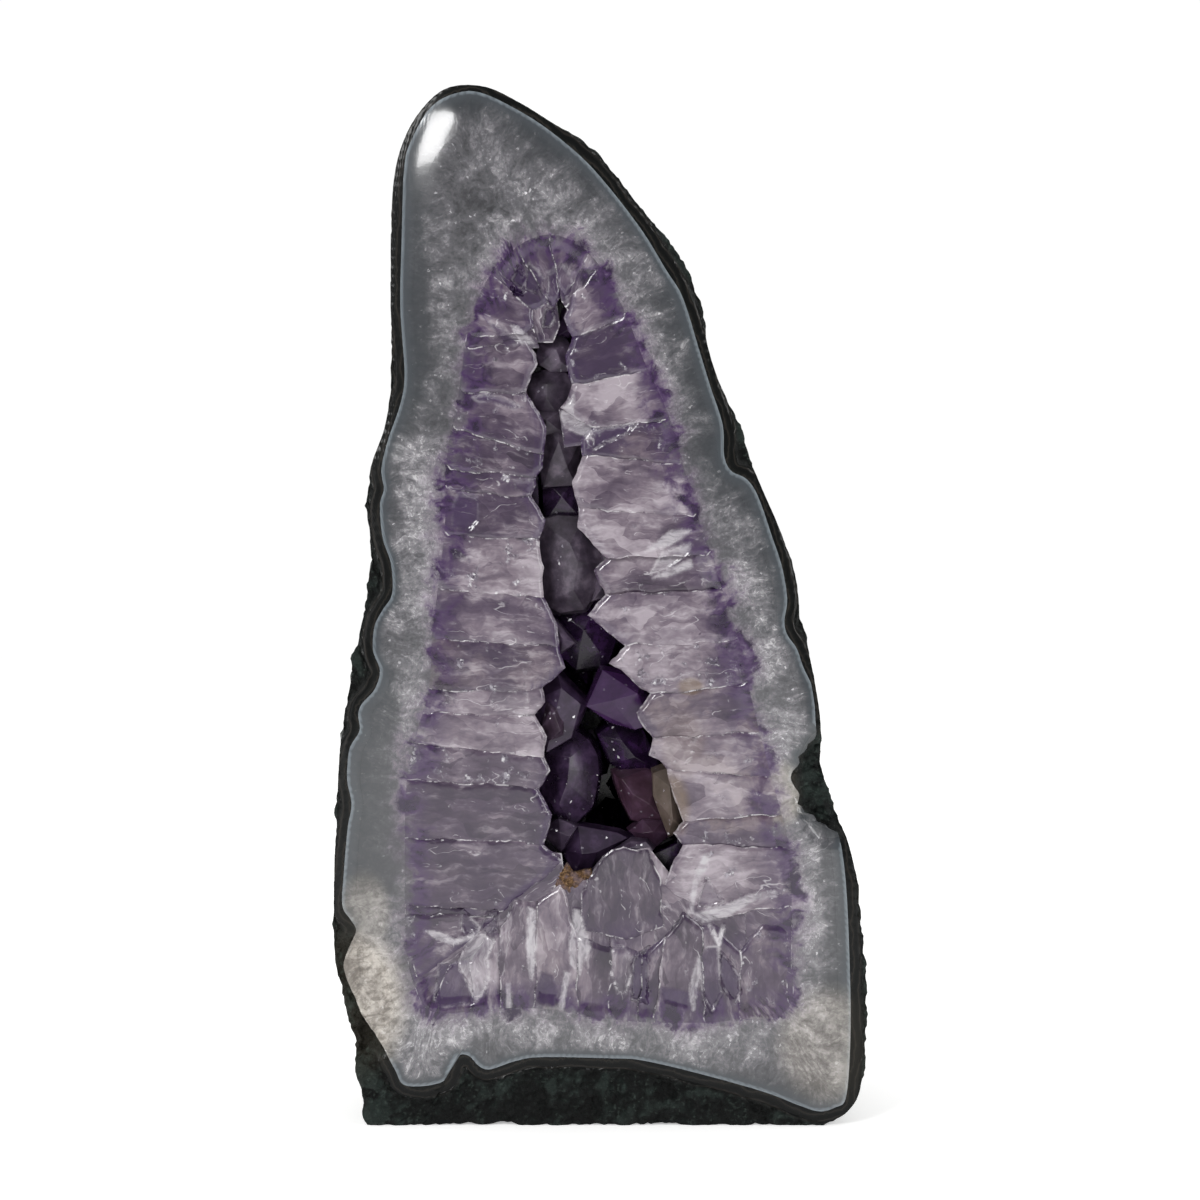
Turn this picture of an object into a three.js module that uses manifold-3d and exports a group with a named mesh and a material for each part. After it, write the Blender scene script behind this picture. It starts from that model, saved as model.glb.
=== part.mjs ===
// An amethyst cathedral geode: half of a gas pocket from a lava flow, sawn open down its front, polished
// on the sawn face and cut flat underneath so that it stands. From outside to inside it has a dark basalt
// rind, a band of grey agate, a bed of frosty quartz, and amethyst crystals that point into a deep hollow.
// Millimetres, +Z up. The sawn face looks along -Y and X runs to the viewer's right.
import * as THREE from "three";
import { ConvexGeometry } from "three/addons/geometries/ConvexGeometry.js";
import { mergeVertices } from "three/addons/utils/BufferGeometryUtils.js";
import Module from "manifold-3d";

const wasm = await Module();
wasm.setup();

// Driving dimensions.
const BODY_DEPTH = 146; // sawn face to the back of the rind
const AGATE_DEPTH = 134; // sawn face to the back of the agate band
const QUARTZ_DEPTH = 118; // sawn face to the back of the quartz bed
const DRUSE_DEPTH = 104; // sawn face to the back of the crystal lining
const AGATE_SHARE = 0.22; // share of the lining, from rind to crystal roots, that is agate
const FRONT_ROW = 15; // thickness of the sawn front row of crystals
const SEAM = 0.45; // gap between neighbouring solids
const ROUNDING = 2.4; // exponent of the pod's depth profile: 2 is an ellipse, more is boxier
const SIDE_RAYS = 58; // facets round the sides of each layer
const FOOT_RAYS = 7; // facets across the foot

const HEART = new THREE.Vector2(-5, 120); // every layer is star-shaped as seen from here

// Where each layer's rings close at the back, furthest down outside, so that the foot stays flat and thick.
const SKIN_POLE = new THREE.Vector2(0, 0);
const AGATE_POLE = new THREE.Vector2(-2, 27);
const BED_POLE = new THREE.Vector2(-2, 36);
const ROOT_POLE = new THREE.Vector2(-2, 48);

const points = (pairs) => pairs.map(([x, z]) => new THREE.Vector2(x, z));

// Outlines on the sawn face, as [x, z].

// The rind's outside, from the foot's left end over the top to the foot's right end.
const SKIN = points([
  [-84, 0], [-88, 17], [-91, 34], [-94, 47], [-97, 62], [-97, 90], [-95.5, 126], [-93.5, 150], [-89, 174],
  [-85, 193], [-83.5, 212], [-85, 230], [-82, 246], [-76.5, 264], [-76, 308], [-75, 343], [-70, 362],
  [-61, 374], [-50, 380], [-35, 376], [-18, 366], [0, 354], [14, 336], [29, 317], [37, 300], [40, 280],
  [48.5, 261], [54, 245], [62, 226], [69.5, 208], [74, 184], [80, 153], [80.5, 136], [85, 117], [91.5, 102],
  [96, 74], [97.5, 44], [95.5, 14], [88, 3], [82, 0],
]);

// The line where the rind meets the agate. It is scalloped, notched on the right where the rim has
// chipped away, and arched over the thick foot.
const AGATE_LINE = points([
  [-71, 15], [-58, 16], [-52, 25], [-48, 26], [-40, 21], [-21, 25.5], [5, 25], [14, 24.5], [28, 21.5],
  [47, 16.5], [62, 13], [80, 5.5], [90, 11], [91.5, 34], [91, 63], [89.5, 91], [87, 108], [80.5, 113],
  [73, 118], [70, 127], [71.5, 136], [77, 143], [77.5, 160], [71.5, 175], [67.5, 184], [68, 193],
  [66, 205], [62, 217], [56, 233], [53, 237], [48, 238.5], [45, 245], [44.5, 256], [36, 283], [30, 302],
  [24, 312], [14, 328], [-2, 348], [-15, 360], [-27, 368.5], [-42, 376], [-51, 376.5], [-61, 371.5],
  [-68.5, 359], [-71, 349], [-72, 322], [-72.5, 299], [-71, 275], [-72.5, 264], [-77, 251], [-79.5, 240],
  [-78.5, 233], [-80, 227], [-79, 215], [-76, 206], [-76, 195], [-81.5, 185], [-82.5, 174], [-80, 167],
  [-82, 160], [-88, 151], [-87.5, 145], [-92, 136], [-92, 126], [-90.5, 118], [-92, 109], [-93.5, 92],
  [-94.5, 81], [-89, 72], [-92.5, 65], [-94.5, 58], [-90, 42], [-79, 30],
]);

// The purple line where the quartz bed ends and the large crystals root.
const ROOT_LINE = points([
  [-62, 42], [-48, 42.5], [-24, 43.5], [-3, 40.5], [13, 38.5], [45, 38.5], [57, 40], [69, 42], [70, 60],
  [70, 81], [69, 103], [66, 115], [62, 130], [58, 145], [54, 162], [50, 179], [44, 198], [40, 211],
  [35, 224], [30, 243], [25, 260], [17, 277], [9, 297], [-1, 315], [-9, 322], [-19, 325], [-29, 321],
  [-39, 311], [-46, 298], [-49, 284], [-51, 268], [-54, 254], [-56, 238], [-56, 222], [-58, 203],
  [-61, 179], [-62, 161], [-66, 146], [-70, 129], [-71, 106], [-71, 80], [-70, 60], [-66, 48],
]);

// Front row of crystals, sawn through lengthwise
// A wall of crystals is a chain of seams, each [root, shoulder], with one crystal's tip between each two.

const WALLS = {
  left_crystal: {
    seams: [
      [[-46, 284], [-26, 287]], [[-48, 268], [-27, 268]], [[-51, 254], [-21, 246]], [[-53, 240], [-23, 237]],
      [[-52, 232], [-25, 230]], [[-54, 216], [-22, 214]], [[-56, 196], [-21, 194]], [[-58, 178], [-15, 175]],
      [[-59, 160], [-21, 160]], [[-62, 151], [-24, 150]], [[-65, 140], [-20, 135]], [[-68, 127], [-22, 124]],
      [[-69, 106], [-20, 104]], [[-69, 81], [-34, 79]],
    ],
    tips: [
      [-22, 278], [-19, 255], [-21, 241], [-23, 234], [-20, 222], [-20, 204], [-15, 184], [-13, 168],
      [-20, 155], [-19, 143], [-18, 130], [-18, 114], [-13, 97],
    ],
  },
  right_crystal: {
    seams: [
      [[-3, 311], [-11, 302]], [[7, 294], [-10, 288]], [[15, 275], [-10, 271]], [[23, 258], [-3, 255]],
      [[28, 242], [-6, 245]], [[33, 223], [-8, 226]], [[38, 209], [2, 208]], [[42, 196], [2, 194]],
      [[48, 178], [9, 176]], [[52, 162], [18, 158]], [[56, 144], [19, 142]], [[60, 128], [25, 131]],
      [[64, 114], [31, 112]], [[67, 102], [30, 103]], [[68, 81], [40, 76]],
    ],
    tips: [
      [-13, 295], [-13, 281], [-14, 262], [-7, 250], [-10, 236], [-8, 220], [-2, 203], [-5, 187],
      [3, 170], [14, 151], [18, 136], [26, 121], [27, 107], [23, 89],
    ],
  },
  floor_crystal: {
    seams: [
      [[-61, 45], [-54, 61]], [[-47, 45], [-47, 62]], [[-36, 46], [-37, 72]], [[-24, 46], [-23, 83]],
      [[-8, 44], [-8, 70]], [[3, 43], [5, 65]], [[14, 42], [16, 63]], [[20, 42], [24, 71]],
      [[38, 41], [37, 74]], [[51, 42], [51, 66]], [[68.6, 45], [68.2, 73]],
    ],
    tips: [
      [-51, 62], [-42, 71], [-30, 83], [-14, 89], [0, 67], [10, 66], [20, 67], [31, 79], [44, 73], [59, 75],
    ],
  },
  roof_crystal: {
    seams: [
      [[-47, 288], [-26.5, 289]], [[-38, 309], [-24, 298]], [[-29, 318], [-19, 301]],
      [[-18, 322], [-14, 303]], [[-5, 316], [-12, 304]],
    ],
    tips: [[-24, 293], [-21, 299], [-17, 299], [-13, 301]],
  },
};

// Two crystals that stand between walls, each as its own outline on the sawn face.
const LONE_CRYSTALS = {
  corner_crystal: [[-70, 78], [-37, 76.5], [-66, 53], [-69.2, 62]],
  arch_crystal: [[-6.5, 72], [-6.5, 86], [-1, 97], [9, 103], [18, 101.5], [22, 90], [23, 73], [10, 68]],
};

// The rusty crust caught between the floor crystals and the left wall, as a cloud of [x, y, z] points.
const CRUST_CLOUD = [
  [-17, 4, 88], [-12, 2, 94], [-8, 3, 90], [-3, 3, 93], [-8.5, 2, 87.5], [-15, 10, 87], [-10, 12, 95],
  [-4, 11, 91],
];

// The hollow

// Convex blocks, as clouds of [x, y, z] points, that are cut from the crystal lining.
const LOWER_POCKET = [
  [-22, 8, 178], [-6, 8, 192], [18, 8, 172], [33, 8, 132], [30, 8, 101], [5, 8, 90], [-14, 8, 93],
  [-23, 8, 118], [-14, 84, 160], [8, 84, 166], [18, 84, 138], [16, 84, 108], [0, 84, 100], [-13, 84, 112],
];
const UPPER_SLIT = [
  [-24, 8, 250], [-22, 8, 290], [-11, 8, 298], [-3, 8, 250], [6, 8, 205], [2, 8, 176], [-21, 8, 178],
  [-20, 36, 246], [-19, 36, 280], [-12, 36, 284], [-7, 36, 246], [-2, 44, 205], [0, 52, 180], [-18, 52, 182],
];

// Crystals that close the back of the slit: [x, z] of the point, its distance behind the face, radius.
const SLIT_CRYSTALS = [
  [[-16, 289], 20, 8], [[-17, 274], 22, 9], [[-14, 256], 21, 9], [[-15, 240], 22, 8.5], [[-13, 222], 21, 9],
  [[-11, 202], 24, 13], [[-8, 184], 40, 11], [[9, 205], 22, 9],
];

// Rings of crystals round the lower pocket.
const POCKET = { centre: [3, 132], half: [24, 42], rows: 4, firstRow: 24, rowPitch: 15, perRow: 8 };

// Materials

const stone = (color, roughness) => new THREE.MeshStandardMaterial({ color, roughness, metalness: 0 });
const BASALT = stone(0x1c2523, 0.85);
const AGATE = stone(0x70767a, 0.18);
const QUARTZ = stone(0x9c9b9c, 0.3);
const AMETHYST = stone(0x8f7f9b, 0.2);
const DEEP_AMETHYST = stone(0x3b2350, 0.15);
const RUST = stone(0x7a5533, 0.9);

// Layers

// Rays from the heart, one through each place where a layer has a column of facets.
function rayAngles() {
  const side = new THREE.SplineCurve(SKIN).getSpacedPoints(SIDE_RAYS);
  const [footLeft, footRight] = [SKIN[0], SKIN.at(-1)];
  const foot = Array.from({ length: FOOT_RAYS }, (_, i) =>
    footRight.clone().lerp(footLeft, (i + 1) / (FOOT_RAYS + 1)),
  );
  return [...side, ...foot].map((p) => p.sub(HEART).angle());
}

const RAYS = rayAngles();

// How far each ray runs from the heart to a closed line of points.
function radiiOf(line) {
  return RAYS.map((angle) => {
    const ray = new THREE.Vector2(Math.cos(angle), Math.sin(angle));
    let reach = 0;
    line.forEach((p, i) => {
      const a = p.clone().sub(HEART);
      const b = line[(i + 1) % line.length].clone().sub(HEART);
      const edge = b.clone().sub(a);
      const turn = ray.cross(edge);
      const along = a.cross(ray) / turn;
      const far = a.cross(edge) / turn;
      if (along >= -1e-9 && along <= 1 + 1e-9 && far > reach) reach = far;
    });
    return reach;
  });
}

const smoothLoop = (line) => {
  const curve = new THREE.CatmullRomCurve3(
    line.map((p) => new THREE.Vector3(p.x, p.y, 0)), true, "centripetal",
  );
  return curve.getPoints(line.length * 8).slice(0, -1).map((p) => new THREE.Vector2(p.x, p.y));
};
const openLoop = (line) => new THREE.SplineCurve(line).getPoints(line.length * 8);

const skinRadii = radiiOf(openLoop(SKIN));
const agateRadii = radiiOf(smoothLoop(AGATE_LINE));
const rootRadii = radiiOf(smoothLoop(ROOT_LINE));
const bedRadii = agateRadii.map((radius, j) => radius - (radius - rootRadii[j]) * AGATE_SHARE);
const BED_LINE = rootRadii.map((radius, j) =>
  new THREE.Vector2(Math.cos(RAYS[j]), Math.sin(RAYS[j])).multiplyScalar(radius).add(HEART),
);

// One growth surface, as rings from the sawn face back to a pole. Each ring is the outline drawn in
// towards the pole. grow moves it outwards, most at the back, and lumps swells the rock behind the face.
function podRings(radii, { pole: at, depth, rings, front = 0, grow = 0, lumps = 0 }) {
  const made = [];
  const pole = new THREE.Vector2(at.x, at.y - 2 * grow);
  for (let k = 0; k < rings; k++) {
    const turn = ((k / rings) * Math.PI) / 2;
    const share = Math.cos(turn) ** (2 / ROUNDING);
    const y = front + (depth + grow - front) * Math.sin(turn) ** (2 / ROUNDING);
    made.push(
      radii.map((radius, j) => {
        const reach = radius + grow * (1 + 2 * Math.sin(turn));
        const x = HEART.x + Math.cos(RAYS[j]) * reach;
        const z = HEART.y + Math.sin(RAYS[j]) * reach;
        const lump = Math.sin(j * 0.83 + k * 1.9) * Math.sin(j * 0.31 - k * 1.1);
        const swell = 1 + lumps * Math.sin(turn) * lump;
        return new THREE.Vector3(
          pole.x + (x - pole.x) * share * swell, y, Math.max(0, pole.y + (z - pole.y) * share * swell),
        );
      }),
    );
  }
  return { rings: made, pole: new THREE.Vector3(pole.x, depth + grow, pole.y) };
}

// The triangles of one growth surface whose points are numbered from start.
function skinTriangles({ rings }, start, facesOut) {
  const count = RAYS.length;
  const index = [];
  const face = (a, b, c) => index.push(...(facesOut ? [a, b, c] : [a, c, b]));
  rings.forEach((_, k) => {
    for (let j = 0; j < count; j++) {
      const [a, b] = [start + k * count + j, start + k * count + ((j + 1) % count)];
      if (k === rings.length - 1) {
        face(a, b, start + rings.length * count);
      } else {
        face(a, b, b + count);
        face(a, b + count, a + count);
      }
    }
  });
  return index;
}

const surfacePoints = ({ rings, pole }) => [...rings.flat(), pole];

function geometryOf(cloud, index) {
  return new THREE.BufferGeometry().setFromPoints(cloud).setIndex(index);
}

// The closed solid between an outer and an inner growth surface, open to the front.
function cup(outer, inner) {
  const outside = surfacePoints(outer);
  const into = outside.length;
  const index = [...skinTriangles(outer, 0, true), ...skinTriangles(inner, into, false)];
  for (let j = 0; j < RAYS.length; j++) {
    const next = (j + 1) % RAYS.length;
    index.push(j, into + j, into + next, j, into + next, next);
  }
  return geometryOf([...outside, ...surfacePoints(inner)], index);
}

// The closed solid inside one growth surface, flat across the sawn face.
function pod(surface) {
  const cloud = surfacePoints(surface);
  const index = skinTriangles(surface, 0, true);
  RAYS.forEach((_, j) => index.push(cloud.length, (j + 1) % RAYS.length, j));
  cloud.push(new THREE.Vector3(HEART.x, surface.rings[0][0].y, HEART.y));
  return geometryOf(cloud, index);
}

// Solids that are joined and cut

function solidFrom(geometry) {
  geometry.deleteAttribute("normal");
  geometry.deleteAttribute("uv");
  const merged = mergeVertices(geometry, 1e-3);
  return new wasm.Manifold(
    new wasm.Mesh({
      numProp: 3,
      vertProperties: merged.attributes.position.array,
      triVerts: new Uint32Array(merged.index.array),
    }),
  );
}

function geometryFrom(solid) {
  const { vertProperties, triVerts } = solid.getMesh();
  return new THREE.BufferGeometry()
    .setAttribute("position", new THREE.BufferAttribute(new Float32Array(vertProperties), 3))
    .setIndex(new THREE.BufferAttribute(triVerts, 1));
}

const hull = (cloud) => new ConvexGeometry(cloud.map(([x, y, z]) => new THREE.Vector3(x, y, z)));

// A small seeded generator, so that the crystals fall the same way each time.
function seeded(seed) {
  let state = seed;
  return () => {
    state = (state * 1664525 + 1013904223) % 4294967296;
    return state / 4294967296;
  };
}

// A six-sided quartz crystal with a pyramid on it, its point at tip and its body running back along axis.
function quartzPoint(tip, axis, radius, length, turn) {
  const cap = radius * 1.15;
  const profile = [[0, 0], [radius, 0], [radius, length - cap], [0, length]];
  const shape = new THREE.LatheGeometry(profile.map(([r, h]) => new THREE.Vector2(r, h)), 6);
  const up = new THREE.Quaternion().setFromUnitVectors(new THREE.Vector3(0, 1, 0), axis);
  shape.rotateY(turn).translate(0, -length, 0).applyQuaternion(up).translate(tip.x, tip.y, tip.z);
  return solidFrom(shape);
}

// The points round the lower pocket, in rows from front to back, and those that face forward at its back.
function pocketCrystals() {
  const random = seeded(7);
  const { centre, half, rows, firstRow, rowPitch, perRow } = POCKET;
  const made = [];
  for (let row = 0; row < rows; row++) {
    for (let i = 0; i < perRow; i++) {
      const angle = ((i + (row % 2) / 2 + random() * 0.3) / perRow) * Math.PI * 2;
      const narrow = 1 - row * 0.11;
      const y = firstRow + row * rowPitch + random() * 4;
      const radius = 7 + random() * 4;
      const tip = new THREE.Vector3(
        centre[0] + Math.cos(angle) * half[0] * narrow * 0.74, y,
        centre[1] + Math.sin(angle) * half[1] * narrow * 0.84,
      );
      const axis = new THREE.Vector3(-Math.cos(angle), -0.35 - random() * 0.3, -Math.sin(angle)).normalize();
      made.push(quartzPoint(tip, axis, radius, 24, random() * Math.PI));
    }
  }
  for (const [x, z] of [[-4, 150], [8, 140], [-2, 126], [10, 118], [3, 104]]) {
    const axis = new THREE.Vector3(random() * 0.5 - 0.25, -1, random() * 0.5 - 0.25).normalize();
    made.push(quartzPoint(new THREE.Vector3(x, 72 + random() * 5, z), axis, 8, 22, random() * Math.PI));
  }
  return made;
}

function slitCrystals() {
  const random = seeded(3);
  return SLIT_CRYSTALS.map(([[x, z], behind, radius]) => {
    const axis = new THREE.Vector3(random() * 0.6 - 0.3, -1, random() * 0.6 - 0.3).normalize();
    return quartzPoint(new THREE.Vector3(x, behind, z), axis, radius, 34, random() * Math.PI);
  });
}

// The crystal lining behind the front row: the wall, hollowed, with the crystals of the hollow grown on it.
function druse() {
  const wall = podRings(rootRadii, { pole: ROOT_POLE, depth: DRUSE_DEPTH, rings: 6, grow: -2 * SEAM });
  const whole = solidFrom(pod(wall));
  const start = FRONT_ROW + 2 * SEAM;
  const behind = hull([-120, 120].flatMap((x) => [start, 160].flatMap((y) => [[x, y, 0], [x, y, 400]])));
  const room = whole.intersect(solidFrom(behind));
  const hollow = solidFrom(hull(LOWER_POCKET)).add(solidFrom(hull(UPPER_SLIT)));
  const crystals = [...pocketCrystals(), ...slitCrystals()];
  const grown = crystals.reduce((all, crystal) => all.add(crystal), room.subtract(hollow));
  return largest(grown.intersect(room));
}

const largest = (solid) => solid.decompose().reduce((a, b) => (a.volume() > b.volume() ? a : b));

// The front row

// A crystal sawn lengthwise: its outline on the face, drawn in by the seam, and a back that slopes
// away from the point, as the far faces of the crystal do.
function sawnCrystal(outline, retreat) {
  const middle = outline.reduce((sum, p) => sum.add(p), new THREE.Vector2()).divideScalar(outline.length);
  const face = outline.map((p) => p.clone().lerp(middle, SEAM / p.distanceTo(middle)));
  const cloud = face.flatMap((p, i) => {
    const back = p.clone().lerp(face[retreat[i][0]], retreat[i][1]);
    const deep = p.clone().lerp(middle, 0.12);
    return [[p.x, 0, p.y], [deep.x, FRONT_ROW * 0.5, deep.y], [back.x, FRONT_ROW - 1, back.y]];
  });
  return hull(cloud);
}

// Where a seam between crystals, followed outwards from its shoulder, comes to the quartz bed.
function rootOnBed([root, shoulder]) {
  const [out, start] = points([root, shoulder]);
  const along = out.sub(start).normalize();
  let reach = 0;
  BED_LINE.forEach((p, i) => {
    const a = p.clone().sub(start);
    const edge = BED_LINE[(i + 1) % BED_LINE.length].clone().sub(p);
    const turn = along.cross(edge);
    const share = a.cross(along) / turn;
    if (share >= 0 && share <= 1) reach = Math.max(reach, a.cross(edge) / turn);
  });
  return start.addScaledVector(along, reach - 2 * SEAM);
}

// One crystal of a wall, between two seams: root, shoulder, tip, shoulder, root.
function wallCrystal(seamA, seamB, tip) {
  const [shoulderA, point, shoulderB] = points([seamA[1], tip, seamB[1]]);
  const outline = [rootOnBed(seamA), shoulderA, point, shoulderB, rootOnBed(seamB)];
  const retreat = [[1, 0.14], [0, 0.4], [0, 0.55], [4, 0.4], [3, 0.14]];
  return sawnCrystal(outline, retreat);
}

function loneCrystal(pairs) {
  const outline = points(pairs);
  return sawnCrystal(outline, outline.map(() => [0, 0.3]));
}

// Assembly

const geode = new THREE.Group();

function addPiece(name, geometry, material) {
  const mesh = new THREE.Mesh(geometry, material);
  mesh.name = name;
  geode.add(mesh);
}


addPiece(
  "basalt_rind",
  cup(
    podRings(skinRadii, { pole: SKIN_POLE, depth: BODY_DEPTH, rings: 9, front: 4, lumps: 0.035 }),
    podRings(agateRadii, { pole: AGATE_POLE, depth: AGATE_DEPTH, rings: 7, front: 2.4, grow: SEAM }),
  ),
  BASALT,
);
addPiece(
  "agate_band",
  cup(
    podRings(agateRadii, { pole: AGATE_POLE, depth: AGATE_DEPTH, rings: 7, front: 2.4 }),
    podRings(bedRadii, { pole: BED_POLE, depth: QUARTZ_DEPTH, rings: 7, front: 0.4, grow: SEAM }),
  ),
  AGATE,
);
addPiece(
  "quartz_bed",
  cup(
    podRings(bedRadii, { pole: BED_POLE, depth: QUARTZ_DEPTH, rings: 7, front: 0.4 }),
    podRings(rootRadii, { pole: ROOT_POLE, depth: DRUSE_DEPTH, rings: 6 }),
  ),
  QUARTZ,
);
addPiece("cavity_druse", geometryFrom(druse()), DEEP_AMETHYST);

for (const [wall, { seams, tips }] of Object.entries(WALLS)) {
  tips.forEach((tip, i) => {
    const name = `${wall}_${String(i + 1).padStart(2, "0")}`;
    addPiece(name, wallCrystal(seams[i], seams[i + 1], tip), AMETHYST);
  });
}
for (const [name, outline] of Object.entries(LONE_CRYSTALS)) addPiece(name, loneCrystal(outline), AMETHYST);
addPiece("iron_crust", hull(CRUST_CLOUD), RUST);

// The origin is the middle of the foot: the bottom centre of the whole geode's box.
const box = new THREE.Box3().setFromObject(geode);
geode.children.forEach((mesh) => {
  mesh.position.set(-(box.min.x + box.max.x) / 2, -(box.min.y + box.max.y) / 2, -box.min.z);
});

export default geode;
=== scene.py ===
import math
import random
from functools import partial

import bmesh
import bpy
import numpy as np
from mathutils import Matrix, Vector, noise
from mathutils.bvhtree import BVHTree
from mathutils.geometry import delaunay_2d_cdt


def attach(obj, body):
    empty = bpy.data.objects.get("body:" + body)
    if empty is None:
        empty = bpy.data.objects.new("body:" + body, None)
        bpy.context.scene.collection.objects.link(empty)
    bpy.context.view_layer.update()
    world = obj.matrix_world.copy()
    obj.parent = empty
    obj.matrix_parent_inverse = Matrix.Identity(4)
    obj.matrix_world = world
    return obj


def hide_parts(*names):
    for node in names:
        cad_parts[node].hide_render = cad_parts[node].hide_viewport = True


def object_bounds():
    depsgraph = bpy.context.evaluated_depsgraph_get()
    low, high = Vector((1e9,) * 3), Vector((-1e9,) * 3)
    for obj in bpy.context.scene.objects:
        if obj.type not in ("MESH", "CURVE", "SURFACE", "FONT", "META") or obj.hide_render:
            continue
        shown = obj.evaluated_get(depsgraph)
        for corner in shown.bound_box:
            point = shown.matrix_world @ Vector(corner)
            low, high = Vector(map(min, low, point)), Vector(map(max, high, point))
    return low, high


# An amethyst cathedral geode, sawn open down its front and polished. Lengths in the dictionaries are
# millimetres: x to the right, z up from the foot, depth measured back from the sawn face.

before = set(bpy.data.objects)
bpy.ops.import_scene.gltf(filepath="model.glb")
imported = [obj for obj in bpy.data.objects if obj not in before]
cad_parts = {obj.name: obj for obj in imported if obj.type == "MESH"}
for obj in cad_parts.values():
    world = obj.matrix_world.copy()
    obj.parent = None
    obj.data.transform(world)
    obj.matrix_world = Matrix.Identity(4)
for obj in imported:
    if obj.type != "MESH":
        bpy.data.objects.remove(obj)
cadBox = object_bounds()
faceY = cadBox[0].y * 1000
bodyDepth = (cadBox[1].y - cadBox[0].y) * 1000
heart = np.array([-5.0, 120.0])  # every growth layer is star-shaped as seen from here
print("frame loaded:", len(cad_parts), "nodes")

# the pale agate line on the sawn face, with its scallops, its broken notch on the right and the arch over
# the foot
agateLine = [
    (-71, 15), (-58, 16), (-55, 21), (-52, 26), (-48, 26), (-44, 22), (-40, 21), (-31, 24), (-21, 25.5),
    (5, 25), (14, 24.5), (28, 21.5), (47, 16.5), (62, 12), (72, 8), (80, 5.5), (86, 7), (90, 11),
    (91.5, 34), (91, 63), (89.5, 91), (87, 107), (84.6, 107.6), (82, 110.8), (79.6, 110.6), (78.2, 113.8),
    (75, 114.2), (73.8, 117), (71.9, 117.8), (72.8, 121.4), (71.2, 124), (69.4, 127.6), (70.6, 131),
    (72.9, 132.6), (72.2, 136), (75.2, 137.6), (76.2, 141), (78.9, 142), (78.5, 148), (77.5, 160),
    (74, 168), (71.5, 175), (68, 180), (67, 185), (68, 193), (66, 205), (62, 217), (59, 226), (56, 233),
    (52.5, 237), (47.5, 239.5), (45, 245), (44.5, 256), (40, 270), (36, 283), (30, 302), (24, 312),
    (14, 328), (-2, 348), (-15, 360), (-27, 368.5), (-42, 376), (-51, 376.5), (-61, 371.5), (-68.5, 359),
    (-71, 349), (-72, 322), (-72.5, 299), (-71, 275), (-72.5, 264), (-77, 251), (-79.5, 240),
    (-78.5, 233), (-80, 227), (-79, 215), (-76, 206), (-75.5, 195), (-79, 189), (-82, 183), (-82.5, 174),
    (-80, 167), (-82, 160), (-86.5, 155), (-88, 151), (-87.5, 145), (-91, 139), (-92, 132), (-92, 126),
    (-90.5, 118), (-92, 109), (-93.5, 92), (-94, 81), (-91, 76), (-89, 72), (-91.5, 66), (-94, 58),
    (-91, 50), (-87, 40), (-80, 30), (-75, 21),
]

growth = dict(
    columns=760,  # spokes of the layer meshes round the heart
    agateShare=0.22,  # how much of the way to the crystal roots is agate
    depths=dict(agate=134.0, bed=118.0, roots=104.0),
    poles=dict(skin=(0, 0), agate=(-2, 27), bed=(-2, 36), roots=(-2, 48)),
    rings=dict(agate=7, bed=7, roots=6),  # rows of each surface, from the face back to its pole
    lips=dict(skin=4.0, agate=2.4, bed=0.4, roots=0.0),  # how far behind the saw plane those rows start
    faceRows=dict(skin=13, agate=12, bed=36),  # rows of each layer across the sawn face
    clearance=0.5,  # each layer's inside is this much deeper than the next layer
    hairline=0.03,  # the layers have grown together, so this is all that parts them
    bend=2.4,  # how square the body's side is, seen in section: 2 is an ellipse
)

# where the polisher rounded the rim: a broad soft edge at the upper left, a narrow one elsewhere
polish = dict(broad=22.0, narrow=5.5, broadDrop=4.6, narrowDrop=2.0, footDrop=0.8)

# broken places on the rim: centre, half widths, depth of the break, and whether it bares the basalt
chips = dict(
    leftCorner=dict(at=(-91, 46), half=(19, 26), deep=4.6, basalt=1),
    rightEdge=dict(at=(84, 126), half=(13, 21), deep=5.0, basalt=1),
    footBit=dict(at=(-53, 15), half=(9, 5), deep=1.0, basalt=0),
)

stains = dict(  # centre, half widths, strength
    cream=[((-92, 45), (22, 30), 1.0), ((84, 30), (20, 22), 0.5), ((-86, 78), (10, 16), 0.4),
           ((67, 122), (7, 12), 0.6)],
    brown=[((25, 117), (8, 14), 1.0), ((33, 161), (5, 3.5), 0.9), ((30, 140), (9, 14), 0.35)],
    frosty=[((-72, 190), (24, 85), 0.8), ((0, 30), (95, 20), 1.0), ((82, 80), (16, 45), 0.4),
            ((10, 330), (30, 30), 0.6), ((70, 140), (16, 55), 1.0)],
    clear=[((-82, 124), (16, 44), 1.0), ((-70, 300), (8, 50), 0.4)],
)


def ringOf(node, setback):
    # the corners of a node's rim at this distance behind the saw plane, in order round the heart
    corners = np.array([v.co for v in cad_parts[node].data.vertices]) * 1000
    rim = corners[np.abs(corners[:, 1] - faceY - setback) < 0.06][:, [0, 2]]
    rim = np.unique(np.round(rim, 2), axis=0)
    return rim[np.argsort(np.arctan2(rim[:, 1] - heart[1], rim[:, 0] - heart[0]))]


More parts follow.
